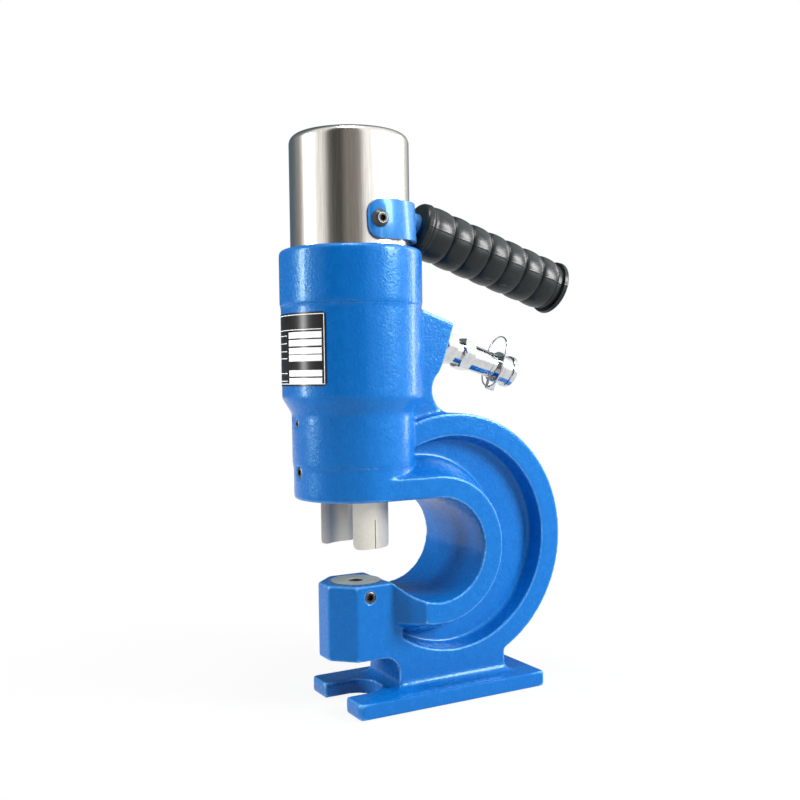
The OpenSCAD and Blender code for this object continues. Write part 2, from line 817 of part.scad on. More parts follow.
module stop_screw() color("black") at_punch()
    translate([stop_screw_len - mid_r - seat_gap, 0, stop_screw_z]) rotate([0, -90, 0])
    set_screw(m5_r, stop_screw_len - 2 * screw_sink / 3, m5_af, m5_r - stop_screw_tip, stop_screw_tip);

module die() color("dimgray") at_punch() difference() {
    translate([0, 0, die_z - die_h]) cylinder(h = die_h, r = die_r);
    translate([0, 0, die_z - die_h - over]) cylinder(h = die_h + 2 * over, r = die_hole_r);
    translate([0, 0, die_z - die_h - over]) cylinder(h = die_h - land_h + over, r = die_relief_r);
    translate([0, 0, die_screw_z - groove_half]) ring(die_r + over, die_r - groove_cut, 2 * groove_half);
}

module die_screw() color("black") at_punch() translate([0, groove_cut - die_r - die_gap, die_screw_z])
    rotate([90, 0, 0])
    set_screw(m8_r, flange_half - die_r + groove_cut - screw_sink, m8_af, dog_r, groove_cut + screw_sink / 3);

module bonded_washer() color("dimgray") at_port() ring(washer_out_r, port_r + port_gap, washer_t);

module port_adapter() color("silver") at_port() difference() {
    union() {
        translate([0, 0, over - port_depth]) cylinder(h = port_depth + washer_t, r = port_r - seat_gap);
        translate([0, 0, washer_t]) hexagon(coupler_af, adapter_h);
        translate([0, 0, washer_t]) cylinder(h = adapter_end - washer_t, r = adapter_stud_r);
    }
    translate([0, 0, -port_depth]) cylinder(h = port_depth + adapter_end + over, r = adapter_bore_r);
}

module coupler_nipple() color("silver") at_port() difference() {
    union() {
        translate([0, 0, adapter_top]) cylinder(h = nipple_neck + over, r = nipple_r - neck_step);
        translate([0, 0, nipple_hex_s]) hexagon(coupler_af, nipple_hex);
        translate([0, 0, nipple_hex_s + over]) cylinder(h = nose_s - nipple_hex_s - over, r = nipple_r);
        translate([0, 0, nose_s - over]) cylinder(h = nose_len + over, r = nose_r);
    }
    translate([0, 0, adapter_top - over])
        cylinder(h = adapter_stud + over, r = adapter_stud_r + seat_gap);
    translate([0, 0, adapter_end - over])
        cylinder(h = nose_end - adapter_end - valve_wall + over, r = valve_r);
    translate([0, 0, nose_end - valve_wall - over])
        cylinder(h = valve_wall + 2 * over, r = valve_r - valve_seat);
    translate([0, 0, ball_groove_s]) ring(nipple_r + over, nipple_r - ball_groove_cut, ball_groove_w);
}

module coupler_poppet() color("gold") at_port() {
    translate([0, 0, poppet_s - poppet_disc]) cylinder(h = poppet_disc, r = valve_r - poppet_gap);
    translate([0, 0, poppet_s - over])
        cylinder(h = valve_wall + over, r = valve_r - valve_seat - 2 * poppet_gap);
    translate([0, 0, poppet_s - poppet_disc - poppet_stem])
        cylinder(h = poppet_stem + over, r = poppet_stem_r);
}

module poppet_spring() color("silver") at_port()
    coil(valve_spring_r, valve_spring_wire, valve_spring_turns, adapter_end,
        poppet_s - poppet_disc - poppet_travel - stop_gap, "poppet spring");

module dust_cap() color("silver") at_port() difference() {
    union() {
        rotate_extrude() polygon([[0, cap_s], [cap_r, cap_s], [cap_r, cap_s + cap_rim],
            [cap_r - cap_waist, cap_s + cap_rim + cap_slope],
            [cap_r - cap_waist, cap_end - cap_lip - cap_slope],
            [cap_r, cap_end - cap_lip], [cap_r, cap_end - cap_bevel], [cap_r - cap_bevel, cap_end],
            [0, cap_end]]);
        translate([cap_bore_r + over, -lug_half, lug_start])
            cube([lug_reach - cap_bore_r - over, 2 * lug_half, lug_len]);
    }
    translate([0, 0, lug_start - over])
        cylinder(h = nose_end - lug_start + over + stop_gap, r = cap_bore_r);
    translate([loop_low, 0, loop_s]) rotate([90, 0, 0])
        cylinder(h = 4 * lug_half, r = loop_wire + stop_gap, center = true);
}

// A wire loop with round ends and straight sides, square to the coupler's axis
module cap_tether() {
    high = loop_top - loop_r - loop_wire;
    low = loop_low - loop_r;
    half = [for (i = [0:16]) let (a = 180 * i / 16) [cos(a), sin(a)]];
    outward = [for (h = half) [-h[1], h[0], 0], for (h = half) [h[1], -h[0], 0]];
    path = [for (i = [0:33]) loop_r * outward[i] + [i < 17 ? -high : low, 0, loop_s]];
    color("silver") at_port() swept(path, outward, [0, 0, 1], loop_wire, 6, true);
}

module ram() color("lightgray") at_punch() difference() {
    union() {
        translate([0, 0, ram_z]) cylinder(h = piston_z - ram_z + over, r = rod_r);
        translate([0, 0, piston_z]) cylinder(h = piston_t, r = piston_r);
        translate([0, 0, piston_z + over])
            cylinder(h = head_z - stop_gap - piston_z - over, r = bore_r - boss_step);
    }
    translate([0, 0, piston_z + seal_up]) ring(bore_r + over, bore_r - seal_depth, seal_h);
    translate([0, 0, piston_z + guide_up]) ring(bore_r + over, bore_r - guide_depth_r, guide_h);
    translate([0, 0, tie_bottom]) cylinder(h = head_z - tie_bottom + over, r = tie_r + seat_gap);
    translate([0, 0, ram_z - over]) cylinder(h = retainer_h + over, r = retainer_r + seat_gap);
    translate([0, 0, ram_z]) cylinder(h = retainer_h + punch_head_h, r = punch_head_r + seat_gap);
}

module piston_seal() color("black") at_punch() translate([0, 0, piston_z + seal_up + seal_play])
    ring(bore_r - 1.5 * seat_gap, bore_r - seal_depth + seat_gap, seal_h - 2 * seal_play);

module piston_guide_ring() color("darkgoldenrod") at_punch()
    translate([0, 0, piston_z + guide_up + seal_play])
    ring(bore_r - seat_gap, bore_r - guide_depth_r + seat_gap, guide_h - 2 * seal_play);

module tie_rod() color("gray") at_punch() translate([0, 0, tie_bottom])
    cylinder(h = tie_top - tie_bottom, r = tie_r);

module spring_retainer() color("gray") at_punch() translate([0, 0, retainer_z])
    ring(disc_r, tie_r + seat_gap, disc_t);

module tie_rod_nut() color("silver") at_punch() translate([0, 0, retainer_z + disc_t]) difference() {
    hexagon(tie_nut_af, tie_nut_h);
    translate([0, 0, -over]) cylinder(h = tie_nut_h + 2 * over, r = tie_r + seat_gap);
}

module punch() color("dimgray") at_punch() {
    translate([0, 0, tip_z]) cylinder(h = punch_stick, r = punch_r);
    translate([0, 0, tip_z + punch_stick / 2])
        cylinder(h = punch_stick / 2 + retainer_h + over, r = punch_shank_r);
    translate([0, 0, ram_z + retainer_h]) cylinder(h = punch_head_h, r = punch_head_r);
}

module punch_retainer() color("gray") at_punch() difference() {
    translate([0, 0, ram_z + retainer_sink]) cylinder(h = retainer_h - retainer_sink, r = retainer_r);
    translate([0, 0, ram_z - over]) cylinder(h = retainer_h + 2 * over, r = punch_shank_r + seat_gap);
    for (side = [-1, 1]) translate([0, side * (punch_shank_r + retainer_r) / 2, ram_z - over])
        cylinder(h = small_pin_h + over, r = small_pin_r);
}

module return_spring() color("gray") at_punch()
    coil(spring_r, spring_wire, spring_turns, spring_z, retainer_z, "return spring");

module handle_strap() color("dodgerblue") difference() {
    at_strap() intersection() {
        translate([0, 0, -strap_h / 2]) ring(strap_r, strap_r_in, strap_h);
        side_slab(strap_r + over) polygon(concat(
            [[strap_r + over, -strap_h / 2], [strap_r + over, strap_h / 2]],
            arc(strap_round - strap_end, strap_h / 2 - strap_round, strap_round, 90, 180, 6),
            arc(strap_round - strap_end, strap_round - strap_h / 2, strap_round, 180, 270, 6)));
    }
    both_sides() cylinder(h = strap_r + over, r = strap_hole_r);
}

module handle_tube() color("dodgerblue") difference() {
    at_grip() translate([0, 0, -tube_start]) ring(tube_r, tube_r - tube_wall, tube_start + tube_len);
    at_strap() translate([0, 0, -2 * strap_h]) cylinder(h = 4 * strap_h, r = strap_r + seat_gap);
}

// A collar towards the strap, a row of pillows with grooves between them, and a rim at the end
module handle_grip() color("black") at_grip() rotate_extrude() polygon(concat(
    [[tube_r + seat_gap, -collar_len]],
    arc(grip_r - collar_slim - collar_edge, collar_edge - collar_len, collar_edge, -90, 0, 4),
    [[grip_r, -groove_w], [grip_r - groove_depth / 2, -3 * groove_w / 4],
        [grip_r - groove_depth / 4, -groove_w / 2], [grip_r, 0]],
    [for (i = [0:groove_count - 1]) let (s = first_groove + groove_pitch * i)
        each [[grip_r, s - groove_w / 2], [grip_r - groove_depth, s - groove_w / 4],
            [grip_r - groove_depth, s + groove_w / 4], [grip_r, s + groove_w / 2]]],
    [[grip_r, rim_groove_s - rim_wall], [grip_r - groove_depth, rim_groove_s],
        [grip_r - groove_depth, rim_groove_s + rim_groove - rim_wall]],
    arc(grip_r + rim_step - rim_wall, rim_groove_s + rim_groove, rim_wall, -90, 0, 3),
    arc(grip_r + rim_step - rim_edge, grip_len - rim_edge, rim_edge, 0, 90, 4),
    [[0, grip_len], [0, tube_len], [tube_r + seat_gap, tube_len]]));

frame_casting();
data_plate();
spring_cover();
cover_nuts();
cylinder_head();
head_o_ring();
tie_rod_seal();
stripper_sleeve();
guide_bush();
rod_wiper();
stripper_screw();
stop_screw();
die();
die_screw();
bonded_washer();
port_adapter();
coupler_nipple();
handle_screws();
handle_washers();
ram();
piston_seal();
piston_guide_ring();
tie_rod();
spring_retainer();
tie_rod_nut();
punch();
punch_retainer();
return_spring();
handle_strap();
handle_tube();
handle_grip();
coupler_poppet();
poppet_spring();
dust_cap();
cap_tether();
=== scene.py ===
# %% [markdown]
# # A hydraulic busbar punch
# This lesson dresses a mechanical model that is already built at its real size. The model brings the places
# and the moving bodies, and the cells below give each piece its rounded edges, its finish and its light.

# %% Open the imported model
import json
import math

import bmesh
import bpy
from mathutils import Matrix, Vector

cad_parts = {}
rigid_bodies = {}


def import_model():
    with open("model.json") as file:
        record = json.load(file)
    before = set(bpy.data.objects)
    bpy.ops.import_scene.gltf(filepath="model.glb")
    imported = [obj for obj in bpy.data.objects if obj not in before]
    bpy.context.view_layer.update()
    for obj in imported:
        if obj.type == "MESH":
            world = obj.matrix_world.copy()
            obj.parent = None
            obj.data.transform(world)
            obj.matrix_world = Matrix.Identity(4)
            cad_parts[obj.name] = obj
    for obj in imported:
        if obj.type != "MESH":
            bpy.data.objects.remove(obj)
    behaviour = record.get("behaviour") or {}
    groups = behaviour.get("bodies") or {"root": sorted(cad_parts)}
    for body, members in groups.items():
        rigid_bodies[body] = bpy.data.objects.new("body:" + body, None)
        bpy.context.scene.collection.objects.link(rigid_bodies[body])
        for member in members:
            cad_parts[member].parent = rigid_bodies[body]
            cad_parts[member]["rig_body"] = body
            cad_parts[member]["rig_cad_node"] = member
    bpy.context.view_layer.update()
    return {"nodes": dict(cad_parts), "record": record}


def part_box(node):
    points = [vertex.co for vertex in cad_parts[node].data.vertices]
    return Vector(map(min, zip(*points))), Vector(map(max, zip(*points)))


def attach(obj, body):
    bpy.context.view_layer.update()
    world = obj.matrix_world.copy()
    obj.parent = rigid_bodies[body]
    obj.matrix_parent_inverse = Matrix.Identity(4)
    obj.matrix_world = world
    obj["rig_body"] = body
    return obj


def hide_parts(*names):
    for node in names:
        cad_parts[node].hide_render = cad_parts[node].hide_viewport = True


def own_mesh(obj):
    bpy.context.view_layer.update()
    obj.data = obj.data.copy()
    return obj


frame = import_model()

nodes = frame["nodes"]

# %% [markdown]
# Every length below is written in millimetres and turned into metres once. The places come from the model's
# own boxes: the die gives the punch's axis, and each round piece gives its radius as half of its width
# along Y.

# %% Read the main places
MM = 0.001


def low(node):
    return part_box(node)[0]


def high(node):
    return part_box(node)[1]


def radius_of(node):
    return (high(node).y - low(node).y) / 2


axis_x = (low("die").x + high("die").x) / 2
punch_axis = Matrix.Translation((axis_x, 0, 0))
die_top = high("die").z
crown_top = high("frame_casting").z
cover_r = radius_of("spring_cover")
cover_top = high("spring_cover").z
print("punch axis at x =", round(axis_x, 4), "cover radius", round(cover_r, 4))

# %% [markdown]
# Many pieces are made upright and then laid down. These helpers put such a piece on the punch's axis, with
# its Z to the front or to the side.

# %% Helpers that lay a piece down


def middle_z(node):
    return (low(node).z + high(node).z) / 2


def front_place(node):
    """Turns Z to the front, out of the punch's axis, at a node's height."""
    return Matrix.Translation((axis_x, 0, middle_z(node))) @ Matrix.Rotation(-math.pi / 2, 4, "Y")


def sideways(height, turn_by=math.pi / 2):
    """Turns Z to the near side, out of the punch's axis, at a height."""
    return Matrix.Translation((axis_x, 0, height)) @ Matrix.Rotation(turn_by, 4, "X")


# %% [markdown]
# The camera stands where the photograph's did: in front of the tool and to its left, a little above its
# middle, looking slightly down. Heading, tilt and roll are written as angles, and one matrix turns them
# into a camera.

# %% Place the camera
CAMERA_PLACE = (-0.3717, -0.6383, 0.2339)
CAMERA_HEADING = 28.79
CAMERA_DIP = 1.60
CAMERA_ROLL = -0.85
CAMERA_LENS = 45.26

bpy.ops.object.camera_add(location=(0, 0, 0))
camera = bpy.context.object
camera.name = "photo_camera"
camera.data.lens = CAMERA_LENS
camera.data.sensor_width = 36
camera.data.clip_start = 0.01
camera.matrix_world = (
    Matrix.Translation(CAMERA_PLACE)
    @ Matrix.Rotation(math.radians(-CAMERA_HEADING), 4, "Z")
    @ Matrix.Rotation(math.radians(90 - CAMERA_DIP), 4, "X")
    @ Matrix.Rotation(math.radians(CAMERA_ROLL), 4, "Z")
)
bpy.context.scene.camera = camera
print("camera at", CAMERA_PLACE)

# %% [markdown]
# Blender's operators act on whatever is selected, so each step starts from an empty selection. These small
# helpers keep that in one place: they select one piece, apply one modifier, and put a piece's place in its
# mesh.

# %% Helpers for selecting and finishing


def only(piece):
    bpy.ops.object.select_all(action="DESELECT")
    piece.select_set(True)
    bpy.context.view_layer.objects.active = piece
    return piece


def call_it(piece, name):
    piece.name = name
    piece.data.name = name
    return piece


def settle(piece):
    """The piece's place and turn go into its mesh, and its object comes to the origin."""
    only(piece)
    bpy.ops.object.transform_apply(location=True, rotation=True, scale=True)
    return piece


def modify(piece, kind, **values):
    """One modifier, set up and applied."""
    only(piece)
    modifier = piece.modifiers.new(kind.title(), kind)
    for name, value in values.items():
        setattr(modifier, name, value)
    bpy.ops.object.modifier_apply(modifier=modifier.name)
    return piece


def edit_all(piece):
    """Opens a piece for editing, with all of its mesh selected."""
    only(piece)
    bpy.ops.object.mode_set(mode="EDIT")
    bpy.ops.mesh.select_all(action="SELECT")


def clean(piece, gap=1e-6):
    """Merges doubles and turns every face outwards."""
    edit_all(piece)
    bpy.ops.mesh.remove_doubles(threshold=gap)
    bpy.ops.mesh.normals_make_consistent(inside=False)
    bpy.ops.object.mode_set(mode="OBJECT")
    return piece


def smooth(piece, angle=35):
    only(piece)
    bpy.ops.object.shade_smooth_by_angle(angle=math.radians(angle), keep_sharp_edges=False)
    return piece


def soften(piece, width, steps=2, angle=30):
    """A small rounding on every edge that is sharper than the angle."""
    return modify(piece, "BEVEL", width=width * MM, segments=steps, limit_method="ANGLE",
                  angle_limit=math.radians(angle), use_clamp_overlap=True, miter_outer="MITER_ARC")


# %% [markdown]
# Turned pieces are made as on a lathe: half of the section is drawn as a chain of points, and the spin
# operator carries it once round the axis. Cylinders and hexagons are primitives, shaped afterwards.

# %% Helpers for turned, round and six-sided pieces


def turn(name, outline, place=Matrix(), steps=96, closed=False):
    """Spins an outline of (radius, height) points in millimetres round Z, then puts it in its place."""
    bpy.ops.object.select_all(action="DESELECT")
    bpy.ops.mesh.primitive_circle_add(vertices=len(outline), radius=0.01)
    piece = call_it(bpy.context.object, name)
    shape = bmesh.new()
    shape.from_mesh(piece.data)
    shape.verts.ensure_lookup_table()
    for corner, (radius, height) in zip(shape.verts, outline):
        corner.co = (radius * MM, 0, height * MM)
    if not closed:
        first, last = shape.verts[0], shape.verts[-1]
        for edge in [edge for edge in shape.edges if first in edge.verts and last in edge.verts]:
            shape.edges.remove(edge)
    shape.to_mesh(piece.data)
    shape.free()
    edit_all(piece)
    bpy.ops.mesh.spin(steps=steps, angle=2 * math.pi, center=(0, 0, 0), axis=(0, 0, 1))
    bpy.ops.object.mode_set(mode="OBJECT")
    piece.data.transform(place)
    return clean(piece, 5e-6)


def bar(name, radius, start, end, place=Matrix(), sides=64):
    """A round or many-sided bar along Z between two heights, in metres."""
    bpy.ops.object.select_all(action="DESELECT")
    bpy.ops.mesh.primitive_cylinder_add(vertices=sides, radius=radius, depth=end - start,
                                        location=(0, 0, (start + end) / 2))
    piece = settle(call_it(bpy.context.object, name))
    piece.data.transform(place)
    return piece


def join(first, *others):
    bpy.ops.object.select_all(action="DESELECT")
    for piece in (first, *others):
        piece.select_set(True)
    bpy.context.view_layer.objects.active = first
    bpy.ops.object.join()
    return first


def cut(piece, cutter, operation="DIFFERENCE"):
    modify(piece, "BOOLEAN", object=cutter, operation=operation, solver="EXACT")
    bpy.data.objects.remove(cutter)
    return piece


def arc(centre_r, centre_z, radius, start, end, steps=6):
    """Points of an arc in a section, in millimetres and degrees."""
    return [(centre_r + radius * math.cos(math.radians(start + (end - start) * i / steps)),
             centre_z + radius * math.sin(math.radians(start + (end - start) * i / steps)))
            for i in range(steps + 1)]


def copy_of(node, name):
    """A merged copy of a CAD piece, with its flat faces whole again."""
    piece = nodes[node].copy()
    piece.data = nodes[node].data.copy()
    bpy.context.scene.collection.objects.link(piece)
    piece.parent = None
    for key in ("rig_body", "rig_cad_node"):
        if key in piece:
            del piece[key]
    piece.data.materials.clear()
    clean(call_it(piece, name))
    return piece


def tidy_faces(piece):
    """Joins the triangles of each flat face into one face."""
    edit_all(piece)
    bpy.ops.mesh.dissolve_limited(angle_limit=math.radians(0.5))
    bpy.ops.object.mode_set(mode="OBJECT")
    return piece


# %% [markdown]
# ## Finishes
# Three effects come back in several materials, so each is a node group: the grain of a rough or painted
# skin, the fine lines that turning and brushing leave, and a mask on convex edges, which gives the wear on
# the screws and a painted highlight on the blue paint. A group puts out only values, and each material
# feeds them to its own shader.

# %% Build the shared effects
WEAR_FROM = 0.515
WEAR_GAIN = 18.0
SMUDGE_SCALE = 0.13


def new_group(name, inputs, outputs):
    group = bpy.data.node_groups.new(name, "ShaderNodeTree")
    for label, kind, value in inputs:
        socket = group.interface.new_socket(label, in_out="INPUT", socket_type=kind)
        if kind == "NodeSocketFloat":
            socket.default_value = value
    for label, kind in outputs:
        group.interface.new_socket(label, in_out="OUTPUT", socket_type=kind)
    return group, group.nodes.new("NodeGroupInput"), group.nodes.new("NodeGroupOutput")


def math_node(tree, operation, first, second=None, clamp=False):
    node = tree.nodes.new("ShaderNodeMath")
    node.operation = operation
    node.use_clamp = clamp
    for socket, value in zip(node.inputs, (first, second)):
        if value is None:
            continue
        if isinstance(value, (int, float)):
            socket.default_value = value
        else:
            tree.links.new(value, socket)
    return node.outputs[0]


def noise(tree, vector, scale, detail=2.0, rough=0.5):
    node = tree.nodes.new("ShaderNodeTexNoise")
    node.inputs["Detail"].default_value = detail
    node.inputs["Roughness"].default_value = rough
    tree.links.new(vector, node.inputs["Vector"])
    if isinstance(scale, (int, float)):
        node.inputs["Scale"].default_value = scale
    else:
        tree.links.new(scale, node.inputs["Scale"])
    return node.outputs["Fac"]


def build_skin_grain():
    """Fine grain over broad waves, as height and as a tint."""
    group, given, result = new_group(
        "skin_grain",
        [("Vector", "NodeSocketVector", None), ("Fine Scale", "NodeSocketFloat", 700.0),
         ("Broad Scale", "NodeSocketFloat", 60.0), ("Broad Share", "NodeSocketFloat", 0.5)],
        [("Height", "NodeSocketFloat"), ("Tint", "NodeSocketFloat")])
    fine = noise(group, given.outputs["Vector"], given.outputs["Fine Scale"], 2.0, 0.55)
    broad = noise(group, given.outputs["Vector"], given.outputs["Broad Scale"], 3.0, 0.6)
    share = math_node(group, "MULTIPLY", broad, given.outputs["Broad Share"])
    height = math_node(group, "ADD", fine, share)
    group.links.new(height, result.inputs["Height"])
    group.links.new(broad, result.inputs["Tint"])
    return group


def build_tool_lines():
    """Lines that run round or along a piece: noise that is squeezed in one direction."""
    group, given, result = new_group(
        "tool_lines",
        [("Vector", "NodeSocketVector", None), ("Scale", "NodeSocketFloat", 1.0)],
        [("Lines", "NodeSocketFloat"), ("Smudge", "NodeSocketFloat")])
    lines = noise(group, given.outputs["Vector"], given.outputs["Scale"], 4.0, 0.7)
    wide = math_node(group, "MULTIPLY", given.outputs["Scale"], SMUDGE_SCALE)
    smudge = noise(group, given.outputs["Vector"], wide, 2.0)
    group.links.new(lines, result.inputs["Lines"])
    group.links.new(smudge, result.inputs["Smudge"])
    return group


def build_wear_and_highlight_edges():
    """A mask that is 1 on convex edges and breaks up along them: real wear on the screws, a painted highlight
    on the paint.
    """
    group, given, result = new_group(
        "wear_and_highlight_edges",
        [("Vector", "NodeSocketVector", None), ("Amount", "NodeSocketFloat", 0.5)],
        [("Mask", "NodeSocketFloat")])
    geometry = group.nodes.new("ShaderNodeNewGeometry")
    point = math_node(group, "SUBTRACT", geometry.outputs["Pointiness"], WEAR_FROM)
    edge = math_node(group, "MULTIPLY", point, WEAR_GAIN, clamp=True)
    patches = noise(group, given.outputs["Vector"], 180.0, 3.0, 0.6)
    broken = math_node(group, "MULTIPLY", edge, math_node(group, "MULTIPLY", patches, 1.6))
    mask = math_node(group, "MULTIPLY", broken, given.outputs["Amount"], clamp=True)
    group.links.new(mask, result.inputs["Mask"])
    return group


skin_grain = build_skin_grain()
tool_lines = build_tool_lines()
wear_and_highlight_edges = build_wear_and_highlight_edges()
print("effects", [group.name for group in bpy.data.node_groups])

# %% [markdown]
# A small class keeps the wiring of a material readable. It starts with Object coordinates, which are the
# model's own metres, and offers the few joints that all finishes need: a group, a mix of two colours, a
# ramp and a bump.

# %% Describe a finish


class Finish:
    def __init__(self, name, colour, roughness, metallic=0.0, **constants):
        self.material = bpy.data.materials.new(name)
        self.material.use_nodes = True
        self.material.diffuse_color = (*colour, 1)
        self.tree = self.material.node_tree
        self.shader = self.tree.nodes["Principled BSDF"]
        self.shader.inputs["Base Color"].default_value = (*colour, 1)
        self.shader.inputs["Roughness"].default_value = roughness
        self.shader.inputs["Metallic"].default_value = metallic
        for label, value in constants.items():
            self.shader.inputs[label.replace("_", " ")].default_value = value
        self.place = self.tree.nodes.new("ShaderNodeTexCoord").outputs["Object"]

    def stretched(self, centre, scale):
        node = self.tree.nodes.new("ShaderNodeMapping")
        node.vector_type = "TEXTURE"
        node.inputs["Location"].default_value = centre
        node.inputs["Scale"].default_value = scale
        self.tree.links.new(self.place, node.inputs["Vector"])
        return node.outputs[0]

    def group(self, tree, vector=None, **values):
        node = self.tree.nodes.new("ShaderNodeGroup")
        node.node_tree = tree
        self.tree.links.new(vector or self.place, node.inputs["Vector"])
        for label, value in values.items():
            node.inputs[label.replace("_", " ")].default_value = value
        return node.outputs

    def ramp(self, value, start, end, first=0.0, last=1.0):
        node = self.tree.nodes.new("ShaderNodeMapRange")
        for label, number in (("From Min", start), ("From Max", end), ("To Min", first), ("To Max", last)):
            node.inputs[label].default_value = number
        self.tree.links.new(value, node.inputs["Value"])
        return node.outputs[0]

    def mix(self, mask, first, second):
        node = self.tree.nodes.new("ShaderNodeMix")
        node.data_type = "RGBA"
        self.tree.links.new(mask, node.inputs["Factor"])
        for socket, value in ((node.inputs[6], first), (node.inputs[7], second)):
            if isinstance(value, tuple):
                socket.default_value = (*value, 1)
            else:
                self.tree.links.new(value, socket)
        return node.outputs[2]

    def feed(self, value, socket):
        self.tree.links.new(value, self.shader.inputs[socket])

    def bump(self, height, strength, distance):
        node = self.tree.nodes.new("ShaderNodeBump")
        node.inputs["Strength"].default_value = strength
        node.inputs["Distance"].default_value = distance
        self.tree.links.new(height, node.inputs["Height"])
        self.feed(node.outputs[0], "Normal")


# %% [markdown]
# The blue paint is thick and glossy, sprayed straight on the casting. Its surface has a fine orange peel
# over the broad waves of the sand mould, and a lighter blue is laid along the convex edges as a painted
# highlight. Its reflections have a slight tint, which keeps the blue deep, and a thin clear coat adds the
# white glints.

# %% Blue paint
BLUE = (0.001, 0.118, 0.430)
BLUE_LIGHT = (0.008, 0.240, 0.650)
STRAP_BLUE = (0.008, 0.130, 0.420)
STRAP_LIGHT = (0.050, 0.220, 0.550)
# The lighter edge blue below is a painted highlight on the convex edges, standing in for the light that
# rounded edges catch.
EDGE_HIGHLIGHT_BLUE = (0.160, 0.440, 0.820)
PAINT_TINT = (0.42, 0.95, 1.0, 1.0)


def blue_paint(name, base, light, rough, fine, broad, share, strength, wear_and_highlight_amount):
    finish = Finish(name, base, rough, Specular_IOR_Level=0.28, Specular_Tint=PAINT_TINT, Coat_Weight=0.15,
                    Coat_Roughness=0.06)
    grain = finish.group(skin_grain, Fine_Scale=fine, Broad_Scale=broad, Broad_Share=share)
    # The edge mask lays the lighter edge blue on the convex edges as a painted highlight.
    wear_and_highlight_mask = finish.group(wear_and_highlight_edges, Amount=wear_and_highlight_amount)
    tint = finish.mix(finish.ramp(grain["Tint"], 0.45, 0.8, 0.0, 0.12), base, light)
    finish.feed(finish.mix(wear_and_highlight_mask["Mask"], tint, EDGE_HIGHLIGHT_BLUE), "Base Color")
    finish.feed(finish.ramp(grain["Tint"], 0.3, 0.7, rough - 0.05, rough + 0.07), "Roughness")
    finish.bump(grain["Height"], strength, 0.0004)
    return finish.material


casting_paint = blue_paint("casting_paint", BLUE, BLUE_LIGHT, 0.26, 600.0, 160.0, 0.8, 0.62, 1.5)
handle_paint = blue_paint("handle_paint", STRAP_BLUE, STRAP_LIGHT, 0.26, 900.0, 120.0, 0.5, 0.12, 0.4)
print("paint", casting_paint.name, handle_paint.name)

# %% [markdown]
# The spring cover is drawn stainless tube. Fine lines run along it and round it, and long soft smudges
# change its gloss, so that the reflections of the studio break into upright bands.

# %% Stainless and other metals
STAINLESS = (0.62, 0.595, 0.565)


def metal(name, colour, roughness, stretch, bump=0.05, spread=0.08, pure=1.0):
    finish = Finish(name, colour, roughness, pure)
    vector = finish.stretched((axis_x, 0, 0), stretch)
    lines = finish.group(tool_lines, vector)
    gloss = finish.ramp(lines["Smudge"], 0.3, 0.7, roughness - spread / 2, roughness + spread)
    finish.feed(gloss, "Roughness")
    darker = tuple(0.82 * part for part in colour)
    finish.feed(finish.mix(finish.ramp(lines["Lines"], 0.35, 0.65), darker, colour), "Base Color")
    finish.bump(lines["Lines"], bump, 0.0002)
    return finish.material


stainless = metal("stainless", STAINLESS, 0.18, (0.0012, 0.0012, 0.03), 0.03, 0.05)
turned_steel = metal("turned_steel", (0.52, 0.5, 0.47), 0.3, (0.012, 0.012, 0.0005), 0.08)
ground_steel = metal("ground_steel", (0.62, 0.6, 0.54), 0.5, (0.0007, 0.009, 0.0007), 0.08, pure=0.6)
tool_steel = metal("tool_steel", (0.6, 0.64, 0.6), 0.5, (0.01, 0.01, 0.0006), 0.06, pure=0.8)
zinc_plate = metal("zinc_plate", (0.6, 0.6, 0.58), 0.26, (0.002, 0.002, 0.002), 0.03)
chrome_plate = metal("chrome_plate", (0.68, 0.69, 0.7), 0.12, (0.004, 0.004, 0.004), 0.01, 0.04)
spring_wire = metal("spring_wire", (0.22, 0.22, 0.24), 0.34, (0.002, 0.002, 0.002), 0.05)
bronze = metal("bronze", (0.6, 0.4, 0.18), 0.3, (0.01, 0.01, 0.0005), 0.06)
brass = metal("brass", (0.78, 0.58, 0.27), 0.22, (0.003, 0.003, 0.003), 0.03)
print("metals", stainless.name, turned_steel.name, chrome_plate.name)

# %% [markdown]
# Black oxide on the screws is nearly matt, and the key wears it to bare steel on the rims. The grip is
# moulded rubber: dull, with a fine leathery grain, a little dust in it and a faint sheen.

# %% Black finishes
OXIDE = (0.008, 0.009, 0.010)
BARE_STEEL = (0.16, 0.16, 0.15)


def black_oxide(name, wear_and_highlight_amount):
    finish = Finish(name, OXIDE, 0.32, 0.0, Specular_IOR_Level=0.4)
    wear_and_highlight_mask = finish.group(wear_and_highlight_edges, Amount=wear_and_highlight_amount)
    grain = finish.group(skin_grain, Fine_Scale=1500.0, Broad_Scale=200.0, Broad_Share=0.5)
    finish.feed(finish.mix(wear_and_highlight_mask["Mask"], OXIDE, BARE_STEEL), "Base Color")
    finish.feed(finish.ramp(grain["Tint"], 0.3, 0.7, 0.28, 0.46), "Roughness")
    finish.bump(grain["Height"], 0.12, 0.0001)
    return finish.material


RUBBER = (0.006, 0.010, 0.010)
RUBBER_DUST = (0.020, 0.028, 0.028)


def moulded_rubber(name, rough, dust):
    finish = Finish(name, RUBBER, rough, Specular_IOR_Level=0.25, Coat_Weight=0.1, Coat_Roughness=0.18)
    grain = finish.group(skin_grain, Fine_Scale=1100.0, Broad_Scale=90.0, Broad_Share=0.7)
    dusty = finish.ramp(grain["Tint"], 0.45, 0.75, 0.0, dust)
    finish.feed(finish.mix(dusty, RUBBER, RUBBER_DUST), "Base Color")
    finish.feed(finish.ramp(grain["Tint"], 0.3, 0.7, rough - 0.06, rough + 0.06), "Roughness")
    finish.bump(grain["Height"], 0.16, 0.0002)
    return finish.material


